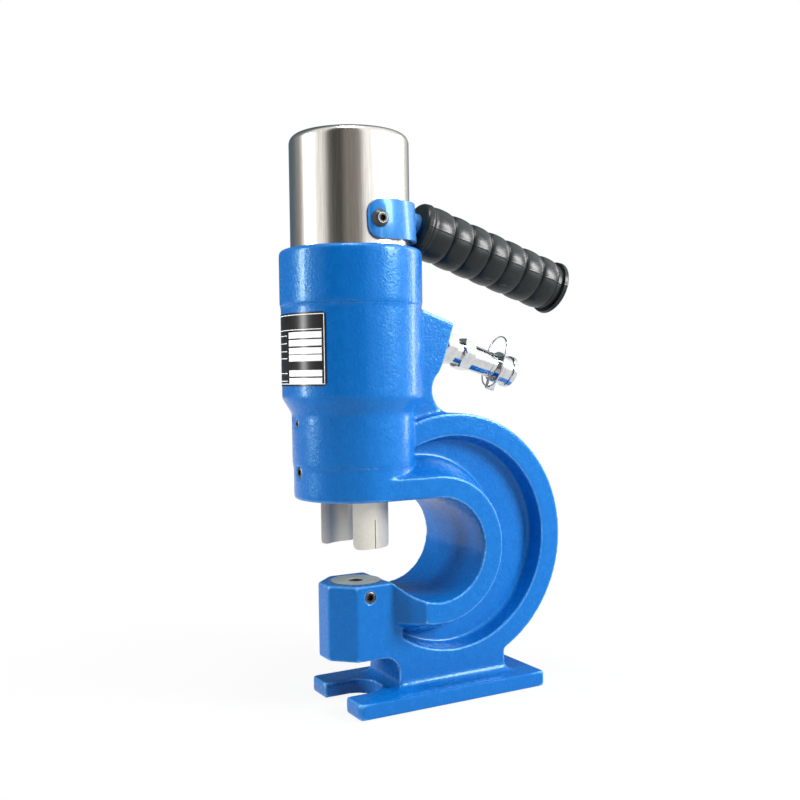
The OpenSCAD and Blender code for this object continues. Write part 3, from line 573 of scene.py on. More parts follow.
def printed(name, colour, roughness):
    finish = Finish(name, colour, roughness, Specular_IOR_Level=0.2)
    grain = finish.group(skin_grain, Fine_Scale=900.0, Broad_Scale=60.0, Broad_Share=0.4)
    lighter = tuple(min(1.0, 1.15 * part + 0.004) for part in colour)
    finish.feed(finish.mix(finish.ramp(grain["Tint"], 0.3, 0.7), colour, lighter), "Base Color")
    finish.bump(grain["Height"], 0.05, 0.0001)
    return finish.material


black_steel = black_oxide("black_steel", 0.4)
worn_rim = metal("worn_rim", (0.2, 0.2, 0.19), 0.35, (0.001, 0.001, 0.001), 0.03)
grip_rubber = moulded_rubber("grip_rubber", 0.36, 0.4)
seal_rubber = moulded_rubber("seal_rubber", 0.45, 0.1)
plate_black = printed("plate_black", (0.006, 0.006, 0.007), 0.25)
plate_white = printed("plate_white", (0.9, 0.9, 0.88), 0.4)
print("black finishes ready")

# %% [markdown]
# A finished piece needs a material, the body that carries it and the CAD pieces that it stands for. One
# helper gives it all three.

# %% Helper that dresses a piece


def dress(piece, material, body, slot, *replaced):
    """Gives a finished piece its material, its body and the CAD pieces that it stands for. The slot is not
    used.
    """
    piece.data.materials.clear()
    piece.data.materials.append(material)
    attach(piece, body)
    if replaced:
        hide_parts(*replaced)
    print(piece.name, len(piece.data.polygons), "faces")
    return piece


# %% [markdown]
# ## The casting
# The frame is one iron casting: base, foot, C, die block, cylinder and port boss. A casting has no sharp
# edge except where a tool has cut it. So the copy of the CAD solid is first filled where tools cut it, then
# remeshed and smoothed all over, which rounds the edges and fills the corners as a mould does, and the
# bores are cut last.

# %% Sizes of what is cut into the casting
VOXEL = 1.05
SMOOTHING_ROUNDS = 8
CASTING_TRIANGLES = 180000
PLUG_SPARE = 1 * MM
CUTTER_SPARE = 2 * MM
FIT = 0.05 * MM
SEAL_FIT = 0.03 * MM
HEAD_FIT = 0.02 * MM
COLLAR_HEIGHT = 25 * MM
COLLAR_BORE = 26 * MM
SLUG_R = 10 * MM
SLUG_DEPTH = 52.6 * MM

housing_low = high("stripper_sleeve").z - COLLAR_HEIGHT
collar_top = housing_low + COLLAR_BORE
head_low = low("cylinder_head").z
cover_low = low("spring_cover").z
die_low = low("die").z
slug_low = die_top - SLUG_DEPTH
pocket_r = radius_of("die") + FIT
pocket_bevel = 0.5 * MM
BORE = [(radius_of("stripper_sleeve") + FIT, housing_low, collar_top),
        (radius_of("piston_seal") + SEAL_FIT, collar_top, head_low),
        (radius_of("cylinder_head") + HEAD_FIT, head_low, cover_low),
        (cover_r + FIT, cover_low, crown_top)]
DIE_PIT = [(SLUG_R, slug_low, die_low), (pocket_r, die_low, die_top - pocket_bevel),
           (pocket_r + pocket_bevel, die_top, die_top)]
port_bore = 8.3 * MM
port_depth = 14 * MM

# %% [markdown]
# The record gives the coupler's nose as a place and a direction. One matrix stands every coupler piece on
# that axis, with Z along it and zero at the face of the port.

# %% Find the port's axis
port_rise = frame["record"]["mounts"][1]["axis"]
nose_point = Vector(frame["record"]["mounts"][1]["pos_m"])
port_direction = Vector(port_rise).normalized()
port_tilt = math.atan2(-port_direction.z, port_direction.x)
NOSE_DISTANCE = 61.7 * MM
port_place = Matrix.Translation(nose_point - NOSE_DISTANCE * port_direction) @ Matrix.Rotation(
    math.pi / 2 + port_tilt, 4, "Y")
print("port axis slopes", round(math.degrees(port_tilt), 2), "degrees")


# %% [markdown]
# A bore is a list of steps, each with a radius, a start and an end. The same list makes the plugs that fill
# it before the remesh and the cutter that opens it again.

# %% Helpers for plugs and cutters


def plugs_for(steps):
    """A bar in each step of a bore, a little larger than the step, so that the remesh closes it."""
    return [bar("plug", radius + PLUG_SPARE, start, end, punch_axis, 96) for radius, start, end in steps
            if end > start]


def cutter_for(name, steps):
    """One turned cutter for a bore in steps. It stands past both ends."""
    outline = []
    for radius, start, end in steps:
        outline += [(radius, start), (radius, end)]
    outline[0] = (outline[0][0], outline[0][1] - CUTTER_SPARE)
    outline[-1] = (outline[-1][0], outline[-1][1] + CUTTER_SPARE)
    outline = [(0, outline[0][1])] + outline + [(0, outline[-1][1])]
    return turn(name, [(radius / MM, height / MM) for radius, height in outline], punch_axis, 128)


# %% [markdown]
# The voxel remesh turns the joined solids into one even skin, and some rounds of smoothing soften its
# edges. Decimate then takes triangles away where the skin is flat.

# %% Fill, remesh and smooth the casting
casting = copy_of("frame_casting", "casting")
port_plug = bar("plug", port_bore + PLUG_SPARE, -port_depth - PLUG_SPARE, 0, port_place)
casting = join(casting, *plugs_for(BORE), *plugs_for(DIE_PIT), port_plug)
voxel = VOXEL * MM
modify(casting, "REMESH", mode="VOXEL", voxel_size=voxel, adaptivity=0.0)
modify(casting, "SMOOTH", factor=0.5, iterations=SMOOTHING_ROUNDS)
triangles = sum(len(face.vertices) - 2 for face in casting.data.polygons)
if triangles > CASTING_TRIANGLES:
    modify(casting, "DECIMATE", ratio=CASTING_TRIANGLES / triangles)
print("casting had", triangles, "triangles and has", len(casting.data.polygons), "faces")

# %% [markdown]
# Two crisp lines run round the housing, where a turned part of it ends. The smoothing has softened them, so
# a shallow V groove is cut along each. The lower one runs only round the front, because the C grows out
# behind.

# %% Cut the two turned lines
LINE_DEPTH = 0.5
LINE_HALF = 0.7
LINE_SPARE = 1
HALF_SPACE = 200 * MM
BARREL_LINE_R = 50.0
BARREL_LINE_Z = 280.4
WAIST_LINE_R = 43.0
WAIST_LINE_Z = 169.6


def line_cutter(radius, height):
    """A thin ring with a V section that points inwards."""
    outer, half = radius + LINE_SPARE, LINE_SPARE + LINE_HALF
    section = [(radius - LINE_DEPTH, height), (outer, height - half), (outer, height + half)]
    return turn("line_cutter", section, punch_axis, 128, closed=True)


cut(casting, line_cutter(BARREL_LINE_R, BARREL_LINE_Z))
front_ring = line_cutter(WAIST_LINE_R, WAIST_LINE_Z)
bpy.ops.object.select_all(action="DESELECT")
bpy.ops.mesh.primitive_cube_add(size=HALF_SPACE, location=(axis_x - HALF_SPACE / 2, 0, WAIST_LINE_Z * MM))
cut(front_ring, call_it(bpy.context.object, "front_half"), "INTERSECT")
cut(casting, front_ring)
print("casting has", len(casting.data.polygons), "faces after the lines")

# %% [markdown]
# The bores, the die's pit and the screw holes are cut last, so that their edges stay as crisp as a tool
# leaves them.

# %% Cut the bores and the screw holes
HOLE_FIT = 0.1 * MM
HOLE_REACH = 20 * MM
DIE_SCREW_HOLE = (18 * MM, 26 * MM)
SLIVER = 0.1 * MM

die_screw_z = middle_z("die_screw")
cut(casting, cutter_for("bore_cutter", BORE))
cut(casting, cutter_for("pit_cutter", DIE_PIT))
hole_cutters = [
    bar("cutter", port_bore, -port_depth, CUTTER_SPARE, port_place),
    bar("cutter", radius_of("stripper_screw") + HOLE_FIT, *DIE_SCREW_HOLE, sideways(die_screw_z))]
for node in ("stripper_screw", "stop_screw"):
    reach = axis_x - high(node).x
    hole_cutters.append(bar("cutter", radius_of(node) + HOLE_FIT, reach, reach + HOLE_REACH,
                            front_place(node), 48))
cut(casting, join(*hole_cutters))
clean(casting, SLIVER)
smooth(casting, 32)
dress(casting, casting_paint, "frame", "frame_paint", "frame_casting")

# %% [markdown]
# ## The spring cover
# The cover is a deep-drawn stainless cup. It is turned here from its section, with the round shoulder on
# top.

# %% Turn the spring cover
COVER_WALL = 1.5
COVER_SHOULDER = 6.0
SCREW_HOLE_R = 3.2 * MM
PAST_THE_COVER = 60 * MM
cover_r_mm = cover_r / MM
cover_outline = (
    [(0, cover_top / MM)]
    + arc(cover_r_mm - COVER_SHOULDER, cover_top / MM - COVER_SHOULDER, COVER_SHOULDER, 90, 0, 10)
    + [(cover_r_mm, low("spring_cover").z / MM), (cover_r_mm - COVER_WALL, low("spring_cover").z / MM)]
    + arc(cover_r_mm - COVER_SHOULDER, cover_top / MM - COVER_SHOULDER, COVER_SHOULDER - COVER_WALL, 0, 90, 6)
    + [(0, cover_top / MM - COVER_WALL)]
)
cover = turn("cover", cover_outline, punch_axis, 128)
pivot = Vector((axis_x, 0, middle_z("handle_screws")))
cut(cover, bar("screw_holes", SCREW_HOLE_R, -PAST_THE_COVER, PAST_THE_COVER, sideways(pivot.z), 32))
smooth(cover, 40)
dress(cover, stainless, "frame", "stainless", "spring_cover")

# %% [markdown]
# ## The handle
# A bent strap half round the cover carries a tube, and a rubber grip is pushed over the tube. The strap
# keeps the CAD solid's shape and gets its rounded edges from a bevel.

# %% Round the strap and the tube
strap = soften(tidy_faces(copy_of("handle_strap", "strap")), 0.7, 3, 40)
dress(smooth(strap, 40), handle_paint, "handle", "handle_paint", "handle_strap")
tube = soften(tidy_faces(copy_of("handle_tube", "grip_tube")), 0.3, 2, 50)
dress(smooth(tube, 40), handle_paint, "handle", "handle_paint", "handle_tube")

# %% [markdown]
# The grip slopes down from the axis of the screws. A matrix puts Z along the tube.

# %% Find the grip's axis
GRIP_TILT = math.radians(18.2)
GRIP_START = 60.0
grip_place = Matrix.Translation(pivot + Vector((GRIP_START * MM, 0, 0))) @ Matrix.Rotation(
    math.pi / 2 + GRIP_TILT, 4, "Y")

# %% [markdown]
# The grip is turned from one outline: a thick round collar at the strap, a row of pillows with narrow
# grooves between them, and a rim at the end. The mould's two halves leave a thin seam along both sides,
# which is made by raising one row of points.

# %% Turn the grip
GRIP_R = 19.9
TUBE_R = 10.02
COLLAR_START = -8.78
COLLAR_R = 19.3
COLLAR_EDGE = 3.4
GRIP_END = 122.4
TUBE_END = 117.0
GROOVES = [16.0 + 16.5 * i for i in range(6)]
GROOVE_HALF = 0.85
GROOVE_DEPTH = 1.75
PILLOW_DROP = 0.95
PILLOW_STEPS = 8
RIM_GROOVE = 114.1
RIM_START = 118.6
RIM_R = 20.8
SEAM_HEIGHT = 0.2
SEAM_INNER_R = 17
SEAM_HALF = 0.1
TURN_STEPS = 240


def pillow(start, end):
    """The crowned stretch between two grooves."""
    stretch = []
    for step in range(PILLOW_STEPS + 1):
        share = step / PILLOW_STEPS
        stretch.append((GRIP_R - PILLOW_DROP * abs(2 * share - 1) ** 2.6, start + (end - start) * share))
    return stretch


def groove(middle):
    floor_r = GRIP_R - GROOVE_DEPTH
    return [(floor_r + 0.3, middle - 0.3), (floor_r, middle), (floor_r + 0.3, middle + 0.3)]


grip_outline = [(TUBE_R, COLLAR_START)]
grip_outline += arc(COLLAR_R - COLLAR_EDGE, COLLAR_START + COLLAR_EDGE, COLLAR_EDGE, -90, 0, 8)
grip_outline += [(19.6, -4.2), (19.75, -3.2), (19.5, -2.7), (18.9, -2.3), (19.0, -1.8), (19.25, -1.2)]
edges = [-0.4] + [edge for middle in GROOVES for edge in (middle - GROOVE_HALF, middle + GROOVE_HALF)]
edges.append(RIM_GROOVE - 0.6)
for step, middle in enumerate(GROOVES):
    grip_outline += pillow(edges[2 * step], edges[2 * step + 1]) + groove(middle)
grip_outline += pillow(edges[-2], edges[-1])
grip_outline += [(18.1, RIM_GROOVE), (18.1, RIM_START - 0.3), (RIM_R - 0.4, RIM_START)]
grip_outline += arc(RIM_R - 1.4, GRIP_END - 1.4, 1.4, -20, 90, 7)
grip_outline += [(12.0, GRIP_END), (11.4, GRIP_END - 0.5), (0, GRIP_END - 0.5), (0, TUBE_END),
                 (TUBE_R, TUBE_END)]
grip = turn("grip", grip_outline, steps=TURN_STEPS, closed=True)
for point in grip.data.vertices:
    radius = math.hypot(point.co.x, point.co.y)
    if radius > SEAM_INNER_R * MM and abs(point.co.x) < SEAM_HALF * MM:
        point.co.y *= 1 + SEAM_HEIGHT * MM / radius
grip.data.transform(grip_place)
dress(smooth(grip, 40), grip_rubber, "handle", "grip_rubber", "handle_grip")

# %% [markdown]
# ## Socket screws
# The handle's two screws have a black cone head with a hexagon socket, whose flat rim the key has worn
# bright. Each is turned from one outline, with its shoulder and thread, and the socket is cut into its
# face.

# %% Helper for a socket in a round head


def with_socket(head, across_flats, start, end, place):
    """A hexagon socket, cut into a head that stands on Z, which then goes to its place."""
    cut(head, bar("socket", across_flats / math.sqrt(3), start, end + 1 * MM, sides=6))
    head.data.transform(place)
    return clean(head)


def brighten_rim(piece, place, inner_r, height):
    """Gives the worn finish to the faces above a height and outside a radius, along the screw's own axis."""
    if len(piece.data.materials) < 2:
        piece.data.materials.append(worn_rim)
    inverse = place.inverted()
    for face in piece.data.polygons:
        centre = inverse @ face.center
        if centre.z > height and math.hypot(centre.x, centre.y) > inner_r:
            face.material_index = 1


# %% [markdown]
# The two screws are the same, turned to opposite sides. The flat rim of each gets the worn finish as a
# second material.

# %% Model the handle's screws
near_side = sideways(pivot.z)
far_side = sideways(pivot.z, -math.pi / 2)
head_face = high("handle_screws").y / MM
HEAD_LOW = head_face - 3.6
HEAD_R = 5.9
FACE_R = 3.8
RIM_INNER_R = 3.1
screw_outline = [(0, 35), (2.7, 35), (3.0, 35.4), (3.0, 42.5), (3.9, 42.5), (4.0, 42.6), (4.0, HEAD_LOW),
                 (HEAD_R - 0.2, HEAD_LOW), (HEAD_R, HEAD_LOW + 0.2), (HEAD_R, HEAD_LOW + 0.6),
                 (FACE_R, head_face - 0.25), (FACE_R - 0.3, head_face), (RIM_INNER_R, head_face),
                 (0, head_face)]
screw_pieces = []
for side, place in (("near", near_side), ("far", far_side)):
    screw = turn("screw_" + side, screw_outline, steps=64)
    screw_pieces.append(with_socket(screw, 4 * MM, (head_face - 3) * MM, head_face * MM, place))
screws = smooth(join(*screw_pieces), 30)
call_it(screws, "strap_screws")
dress(screws, black_steel, "frame", "black_steel", "handle_screws")
for place in (near_side, far_side):
    brighten_rim(screws, place, RIM_INNER_R * MM, (head_face - 0.02) * MM)

# %% [markdown]
# A set screw has no head. Only its socket end is seen, so each is a short bar with a rounded rim.

# %% Model the set screws
DIE_SCREW_R = 4 * MM
SCREW_FIT = 0.02 * MM
SOCKET_DEPTH = 3 * MM
RIM_WIDTH = 1.0 * MM
RIM_DROP = 0.45 * MM


def set_screw(name, node, outer, across_flats, place):
    """A headless screw, seen only from its socket end, whose rounded rim is worn bright."""
    reach = high(node) - low(node)
    radius, length = (DIE_SCREW_R, reach.y) if node == "die_screw" else (radius_of(node), reach.x)
    piece = soften(bar(name, radius - SCREW_FIT, outer - length + SCREW_FIT, outer), 0.7, 3, 60)
    smooth(with_socket(piece, across_flats, outer - SOCKET_DEPTH, outer, place), 35)
    dress(piece, black_steel, "frame", "black_steel", node)
    brighten_rim(piece, place, radius - RIM_WIDTH, outer - RIM_DROP)


set_screw("stripper_set_screw", "stripper_screw", axis_x - low("stripper_screw").x, 4 * MM,
          front_place("stripper_screw"))
set_screw("stop_set_screw", "stop_screw", axis_x - low("stop_screw").x, 2.5 * MM, front_place("stop_screw"))
set_screw("die_set_screw", "die_screw", -low("die_screw").y, 4 * MM, sideways(die_screw_z))

# %% [markdown]
# ## Stripper, die and punch
# The stripper's two claws are the lower end of a turned steel sleeve, with a slot milled through it. The
# die is a ground disc whose hole widens below its land; its hole and its outer rim get black steel as
# painted shade.

# %% Round the stripper and turn the die
stripper = soften(tidy_faces(copy_of("stripper_sleeve", "stripper")), 0.35, 2, 40)
dress(smooth(stripper, 40), ground_steel, "frame", "machined_steel", "stripper_sleeve")
die_r = radius_of("die") / MM
die_top_mm = die_top / MM
die_foot = low("die").z / MM
DIE_HOLE = 5.3
DIE_RELIEF = 6.5
DIE_LAND = 8.0
die_outline = [
    (DIE_HOLE, die_top_mm - 0.4), (DIE_HOLE + 0.4, die_top_mm), (die_r - 0.5, die_top_mm),
    (die_r, die_top_mm - 0.5), (die_r, die_top_mm - 5.9), (die_r - 1, die_top_mm - 5.9),
    (die_r - 1, die_top_mm - 11.3),
    (die_r, die_top_mm - 11.3), (die_r, die_foot + 0.5), (die_r - 0.5, die_foot), (DIE_RELIEF, die_foot),
    (DIE_RELIEF, die_top_mm - DIE_LAND), (DIE_HOLE, die_top_mm - DIE_LAND)]
die = smooth(turn("punch_die", die_outline, punch_axis, 96, closed=True), 30)
dress(die, tool_steel, "frame", "tool_steel", "die")
# The hole's faces and the outer wall with its top chamfer take the black steel as painted shade, for the dark
# hole and the dark gap round the die.
die.data.materials.append(black_steel)
for face in die.data.polygons:
    out_mm = math.hypot(face.center.x - axis_x, face.center.y) / MM
    in_hole = out_mm < DIE_HOLE + 0.1 or out_mm < DIE_RELIEF + 0.1 and face.center.z < die_top - 1 * MM
    if in_hole or out_mm > die_r - 0.45:
        face.material_index = 1

# %% [markdown]
# ## The data plate
# The plate is a black printed foil wrapped round the barrel. It is modelled flat, with rounded corners, and
# then wrapped: a point's distance along Y becomes an angle. The print is a plain border, a rule and empty
# cells.

# %% Helpers for the wrapped foil
PLATE_CENTRE = math.pi
STRIP_WIDTH = 2 * MM


def wrap_round(piece, radius, centre):
    """Wraps a flat piece round the punch's axis: x is along the arc, y is up, z is how far it stands out."""
    for vertex in piece.data.vertices:
        along, up, out = vertex.co
        angle = centre + along / radius
        reach = radius + out
        vertex.co = (axis_x + reach * math.cos(angle), reach * math.sin(angle), up)
    piece.data.update()
    return piece


def foil(name, left, right, bottom, top, corner, thickness, raise_by):
    """A flat rounded patch in the XY plane, cut into upright strips so that it can bend."""
    width = right - left
    bpy.ops.object.select_all(action="DESELECT")
    bpy.ops.mesh.primitive_plane_add(size=1, location=((left + right) / 2, (bottom + top) / 2, 0))
    patch = bpy.context.object
    patch.scale = (width, top - bottom, 1)
    settle(call_it(patch, name))
    if corner > 0:
        edit_all(patch)
        bpy.ops.mesh.bevel(offset=corner, segments=5, affect="VERTICES")
        bpy.ops.object.mode_set(mode="OBJECT")
    strips = max(1, int(width / STRIP_WIDTH))
    edit_all(patch)
    for strip in range(1, strips):
        bpy.ops.mesh.select_all(action="SELECT")
        bpy.ops.mesh.bisect(plane_co=(left + width * strip / strips, 0, 0), plane_no=(1, 0, 0))
    bpy.ops.object.mode_set(mode="OBJECT")
    modify(patch, "SOLIDIFY", thickness=thickness, offset=1.0)
    patch.data.transform(Matrix.Translation((0, 0, raise_by)))
    return clean(patch)


# %% [markdown]
# The foil reaches as far to the left of the barrel's front as to the right, on a film of glue.

# %% Wrap the foil
barrel_r = 49.4 * MM
PLATE_HALF_ANGLE = 44
PLATE_CORNER = 3 * MM
PLATE_THICK = 0.15 * MM
GLUE = 0.06 * MM
plate_low, plate_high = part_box("data_plate")
plate_half = math.radians(PLATE_HALF_ANGLE) * barrel_r
plate = foil("plate_foil", -plate_half, plate_half, plate_low.z, plate_high.z, PLATE_CORNER,
             PLATE_THICK, GLUE)
wrap_round(plate, barrel_r, PLATE_CENTRE)
dress(smooth(clean(plate), 30), plate_black, "frame", "plate_print", "data_plate")

# %% [markdown]
# The print is a thinner foil on top: four strips for the border, one rule, and a line and a cell for each
# row.

# %% Print the border, the rule and the cells
BORDER_INSET = 1.2
BORDER_WIDTH = 0.5
ROW_TOPS = [z * MM for z in (261.6, 256.4, 251.0, 246.2, 236.0, 230.8)]
ROW_HEIGHT = 4.2 * MM
LABEL_TOP = 1.9 * MM
LABEL_LOW = 2.4 * MM
RULE_HEIGHT = 37.6 * MM
MARGIN = 2 * MM
PRINT_THICK = 0.04 * MM
PRINT_RAISE = 0.21 * MM


def print_patch(left, right, bottom, top):
    return foil("print", left, right, bottom, top, 0, PRINT_THICK, PRINT_RAISE)


edge_x = plate_half - BORDER_INSET * MM
edge_low = plate_low.z + BORDER_INSET * MM
edge_high = plate_high.z - BORDER_INSET * MM
line = BORDER_WIDTH * MM
rule_z = plate_low.z + RULE_HEIGHT
prints = [
    print_patch(-edge_x, edge_x, edge_high - line, edge_high),
    print_patch(-edge_x, edge_x, edge_low, edge_low + line),
    print_patch(-edge_x, -edge_x + line, edge_low, edge_high),
    print_patch(edge_x - line, edge_x, edge_low, edge_high),
    print_patch(-edge_x + MARGIN, edge_x - MARGIN, rule_z, rule_z + line),
]
for row_top in ROW_TOPS:
    prints.append(print_patch(4 * MM, edge_x - MARGIN, row_top - ROW_HEIGHT, row_top))
    prints.append(print_patch(-edge_x + 3 * MM, 1 * MM, row_top - LABEL_LOW, row_top - LABEL_TOP))
plate_marks = join(*prints)
wrap_round(call_it(plate_marks, "plate_marks"), barrel_r, PLATE_CENTRE)
dress(clean(plate_marks), plate_white, "frame", "plate_print")

# %% [markdown]
# ## The hose coupler
# An adapter screws into the port on a bonded washer, and the nipple of a quick coupler screws onto it. Each
# is turned from its section, and a hexagon is a six-sided bar whose corners a cone has taken off.

# %% Helper for a chamfered hexagon
TIP_SLOPE = 0.27
TIP_DROP = 1.2


def hexagon(name, across_flats, start, end, place, hole=0.0):
    """A six-sided bar with rounded corner tips, as turned on both ends."""
    piece = bar(name, across_flats / math.sqrt(3), start, end, sides=6)
    flat = across_flats / 2 / MM
    corner = across_flats / math.sqrt(3) / MM
    drop = TIP_SLOPE * (corner - flat) + TIP_DROP
    tip = corner + 1
    low_z, high_z = start / MM, end / MM
    cone = turn("cone", [(0, low_z), (flat, low_z), (tip, low_z + drop), (tip, high_z - drop),
                         (flat, high_z), (0, high_z)], steps=64)
    cut(piece, cone, "INTERSECT")
    if hole:
        cut(piece, bar("hole", hole, start - 1 * MM, end + 1 * MM))
    piece.data.transform(place)
    return clean(piece)


# %% [markdown]
# Heights are counted along the port's axis in millimetres, from the face of the port.

# %% Make the washer, the adapter and the nipple
HEX = 22 * MM
washer = turn("port_washer", [(8.4, 0.05), (11.2, 0.05), (11.5, 0.4), (11.5, 1.6), (11.2, 1.95), (8.4, 1.95)],
              port_place, 64, closed=True)
dress(smooth(washer), zinc_plate, "frame", "zinc_steel", "bonded_washer")
adapter_outline = [(3, -12.9), (8.0, -12.9), (8.28, -12.4), (8.28, 1.9), (6.6, 2.2), (6.6, 25.9), (3, 25.9)]
adapter_body = turn("adapter_body", adapter_outline, port_place, 64, closed=True)
adapter_hex = hexagon("adapter_hex", HEX, 2 * MM, 12 * MM, port_place, 5 * MM)
adapter = smooth(join(adapter_body, adapter_hex), 30)
dress(call_it(adapter, "hose_adapter"), chrome_plate, "frame", "coupler_chrome", "port_adapter")
nipple_outline = [
    (6.62, 12.1), (8.7, 12.1), (9.0, 12.5), (9.0, 28.0), (9.3, 28.0), (9.5, 28.4), (9.5, 42.8),
    (8.7, 43.2), (8.7, 45.7), (9.5, 46.1), (9.5, 49.1), (9.1, 49.6), (7.9, 49.7), (7.9, 61.0), (7.2, 61.7),
    (4.0, 61.7), (4.0, 57.8), (5.2, 57.7), (5.2, 26.1), (6.62, 26.1)]
nipple_body = turn("nipple_body", nipple_outline, port_place, 80, closed=True)
nipple_hex = hexagon("nipple_hex", HEX, 18.2 * MM, 27.7 * MM, port_place, 8 * MM)
nipple = smooth(join(nipple_body, nipple_hex), 30)
dress(call_it(nipple, "hose_nipple"), chrome_plate, "frame", "coupler_chrome", "coupler_nipple")

# %% [markdown]
# The cap is a cup with a lug for the wire loop. The loop keeps its CAD shape, and one subdivision rounds
# the wire.

# %% Make the dust cap and its wire loop
CAP_START = 52.72
CAP_R = 12.0
cap_outline = [
    (8.0, CAP_START), (CAP_R - 0.4, CAP_START), (CAP_R, CAP_START + 0.4), (CAP_R, CAP_START + 2.6),
    (CAP_R - 0.4, CAP_START + 3.1), (10.9, CAP_START + 3.6), (10.9, CAP_START + 10), (11.7, CAP_START + 10.5),
    (CAP_R, CAP_START + 10.9), (CAP_R, CAP_START + 13.9), (11.0, CAP_START + 14.9), (8.5, CAP_START + 14.9),
    (8.2, CAP_START + 14.4), (0, CAP_START + 14.4), (0, CAP_START + 9.4), (8.0, CAP_START + 9.4)]
cap_cup = turn("cap_cup", cap_outline, port_place, 80, closed=True)
LUG_ROOT = 9.0
LUG_TIP = 18.0
LUG_START = 50.2
LUG_LENGTH = 7.0
LUG_THICK = 3.5
LUG_HOLE = (16.0, 51.7)
LUG_HOLE_R = 1.0 * MM
bpy.ops.object.select_all(action="DESELECT")
bpy.ops.mesh.primitive_cube_add(size=MM, location=((LUG_ROOT + LUG_TIP) / 2 * MM, 0,
                                                   (LUG_START + LUG_LENGTH / 2) * MM))
cap_lug = bpy.context.object
cap_lug.scale = (LUG_TIP - LUG_ROOT, LUG_THICK, LUG_LENGTH)
settle(call_it(cap_lug, "cap_lug"))
soften(cap_lug, 0.6, 3)
hole_place = Matrix.Translation((LUG_HOLE[0] * MM, 0, LUG_HOLE[1] * MM))
hole_place = hole_place @ Matrix.Rotation(math.pi / 2, 4, "X")
cut(cap_lug, bar("lug_hole", LUG_HOLE_R, -3 * MM, 3 * MM, hole_place, 24))
cap_lug.data.transform(port_place)
cap = call_it(join(cap_cup, cap_lug), "cap_with_lug")
dress(smooth(cap, 30), chrome_plate, "cap", "coupler_chrome", "dust_cap")
tether = copy_of("cap_tether", "tether_loop")
dress(smooth(modify(tether, "SUBSURF", levels=1, render_levels=1), 60), chrome_plate, "cap", "coupler_chrome",
      "cap_tether")

# %% [markdown]
# ## The return spring
# The spring stands on the cylinder head and its top follows the ram. A copy of its coils rides on the
# frame, with a mesh of its own.

# %% Copy the return spring
spring = copy_of("return_spring", "return_spring_coils")
dress(smooth(spring, 30), spring_wire, "frame", "spring_steel", "return_spring")
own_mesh(spring)

# %% [markdown]
# ## Pieces that stay as they are
# The inner pieces already have the right shape. They keep their CAD solids and get their finish here.

# %% Dress the pieces that keep their CAD solids
KEPT = {
    "cover_nuts": zinc_plate, "cylinder_head": turned_steel, "head_o_ring": seal_rubber,
    "tie_rod_seal": seal_rubber, "guide_bush": bronze, "rod_wiper": seal_rubber, "handle_washers": zinc_plate,
    "ram": turned_steel, "piston_seal": seal_rubber, "piston_guide_ring": bronze, "tie_rod": turned_steel,
    "spring_retainer": zinc_plate, "tie_rod_nut": zinc_plate, "punch": tool_steel,
    "punch_retainer": tool_steel, "coupler_poppet": brass, "poppet_spring": spring_wire,
}
for node, material in KEPT.items():
    mesh = nodes[node].data
    mesh.materials.clear()
    mesh.materials.append(material)
    smooth(nodes[node], 30)
print("kept", len(KEPT), "CAD pieces")

# %% [markdown]
# ## Studio
# The photograph has a white background and no horizon. The world is white to the camera, and gives only a
# weak light. Reflections see something else: studio walls, written as bearings in degrees with a colour
# each, whose dark stretches put the upright bands on the steel.

# %% White background and studio walls
WALLS = [(-180, (0.80, 0.80, 0.78)), (-164, (0.80, 0.79, 0.75)), (-156, (0.05, 0.05, 0.045)),
         (-131, (0.05, 0.05, 0.045)), (-124, (0.20, 0.185, 0.165)), (-95, (0.22, 0.205, 0.19)),
         (-86, (1.0, 1.0, 0.99)), (-10, (0.95, 0.96, 0.94)), (20, (0.66, 0.67, 0.64)),
         (45, (0.10, 0.14, 0.17)), (80, (0.06, 0.10, 0.14)), (106, (0.08, 0.11, 0.13)),
         (136, (0.22, 0.22, 0.21)), (154, (0.8, 0.79, 0.76))]
WALL_LIGHT = 1.6
ROOM_LIGHT = 0.12

world = bpy.data.worlds.new("studio")
bpy.context.scene.world = world
world.use_nodes = True
world_tree = world.node_tree
world_tree.nodes.clear()


def background(strength):
    node = world_tree.nodes.new("ShaderNodeBackground")
    node.inputs["Color"].default_value = (1, 1, 1, 1)
    node.inputs["Strength"].default_value = strength
    return node


def choose(tree, mask, first, second):
    """A mix of two shaders by a mask."""
    node = tree.nodes.new("ShaderNodeMixShader")
    for value, socket in zip((mask, first, second), node.inputs):
        tree.links.new(value, socket)
    return node.outputs[0]


direction = world_tree.nodes.new("ShaderNodeSeparateXYZ")
world_tree.links.new(world_tree.nodes.new("ShaderNodeTexCoord").outputs["Generated"], direction.inputs[0])
bearing = math_node(world_tree, "ARCTAN2", direction.outputs["Y"], direction.outputs["X"])
share = math_node(world_tree, "ADD", math_node(world_tree, "MULTIPLY", bearing, 0.5 / math.pi), 0.5)
wall_colours = world_tree.nodes.new("ShaderNodeValToRGB")
world_tree.links.new(share, wall_colours.inputs["Fac"])
stops = wall_colours.color_ramp.elements
while len(stops) < len(WALLS):
    stops.new(0.5)
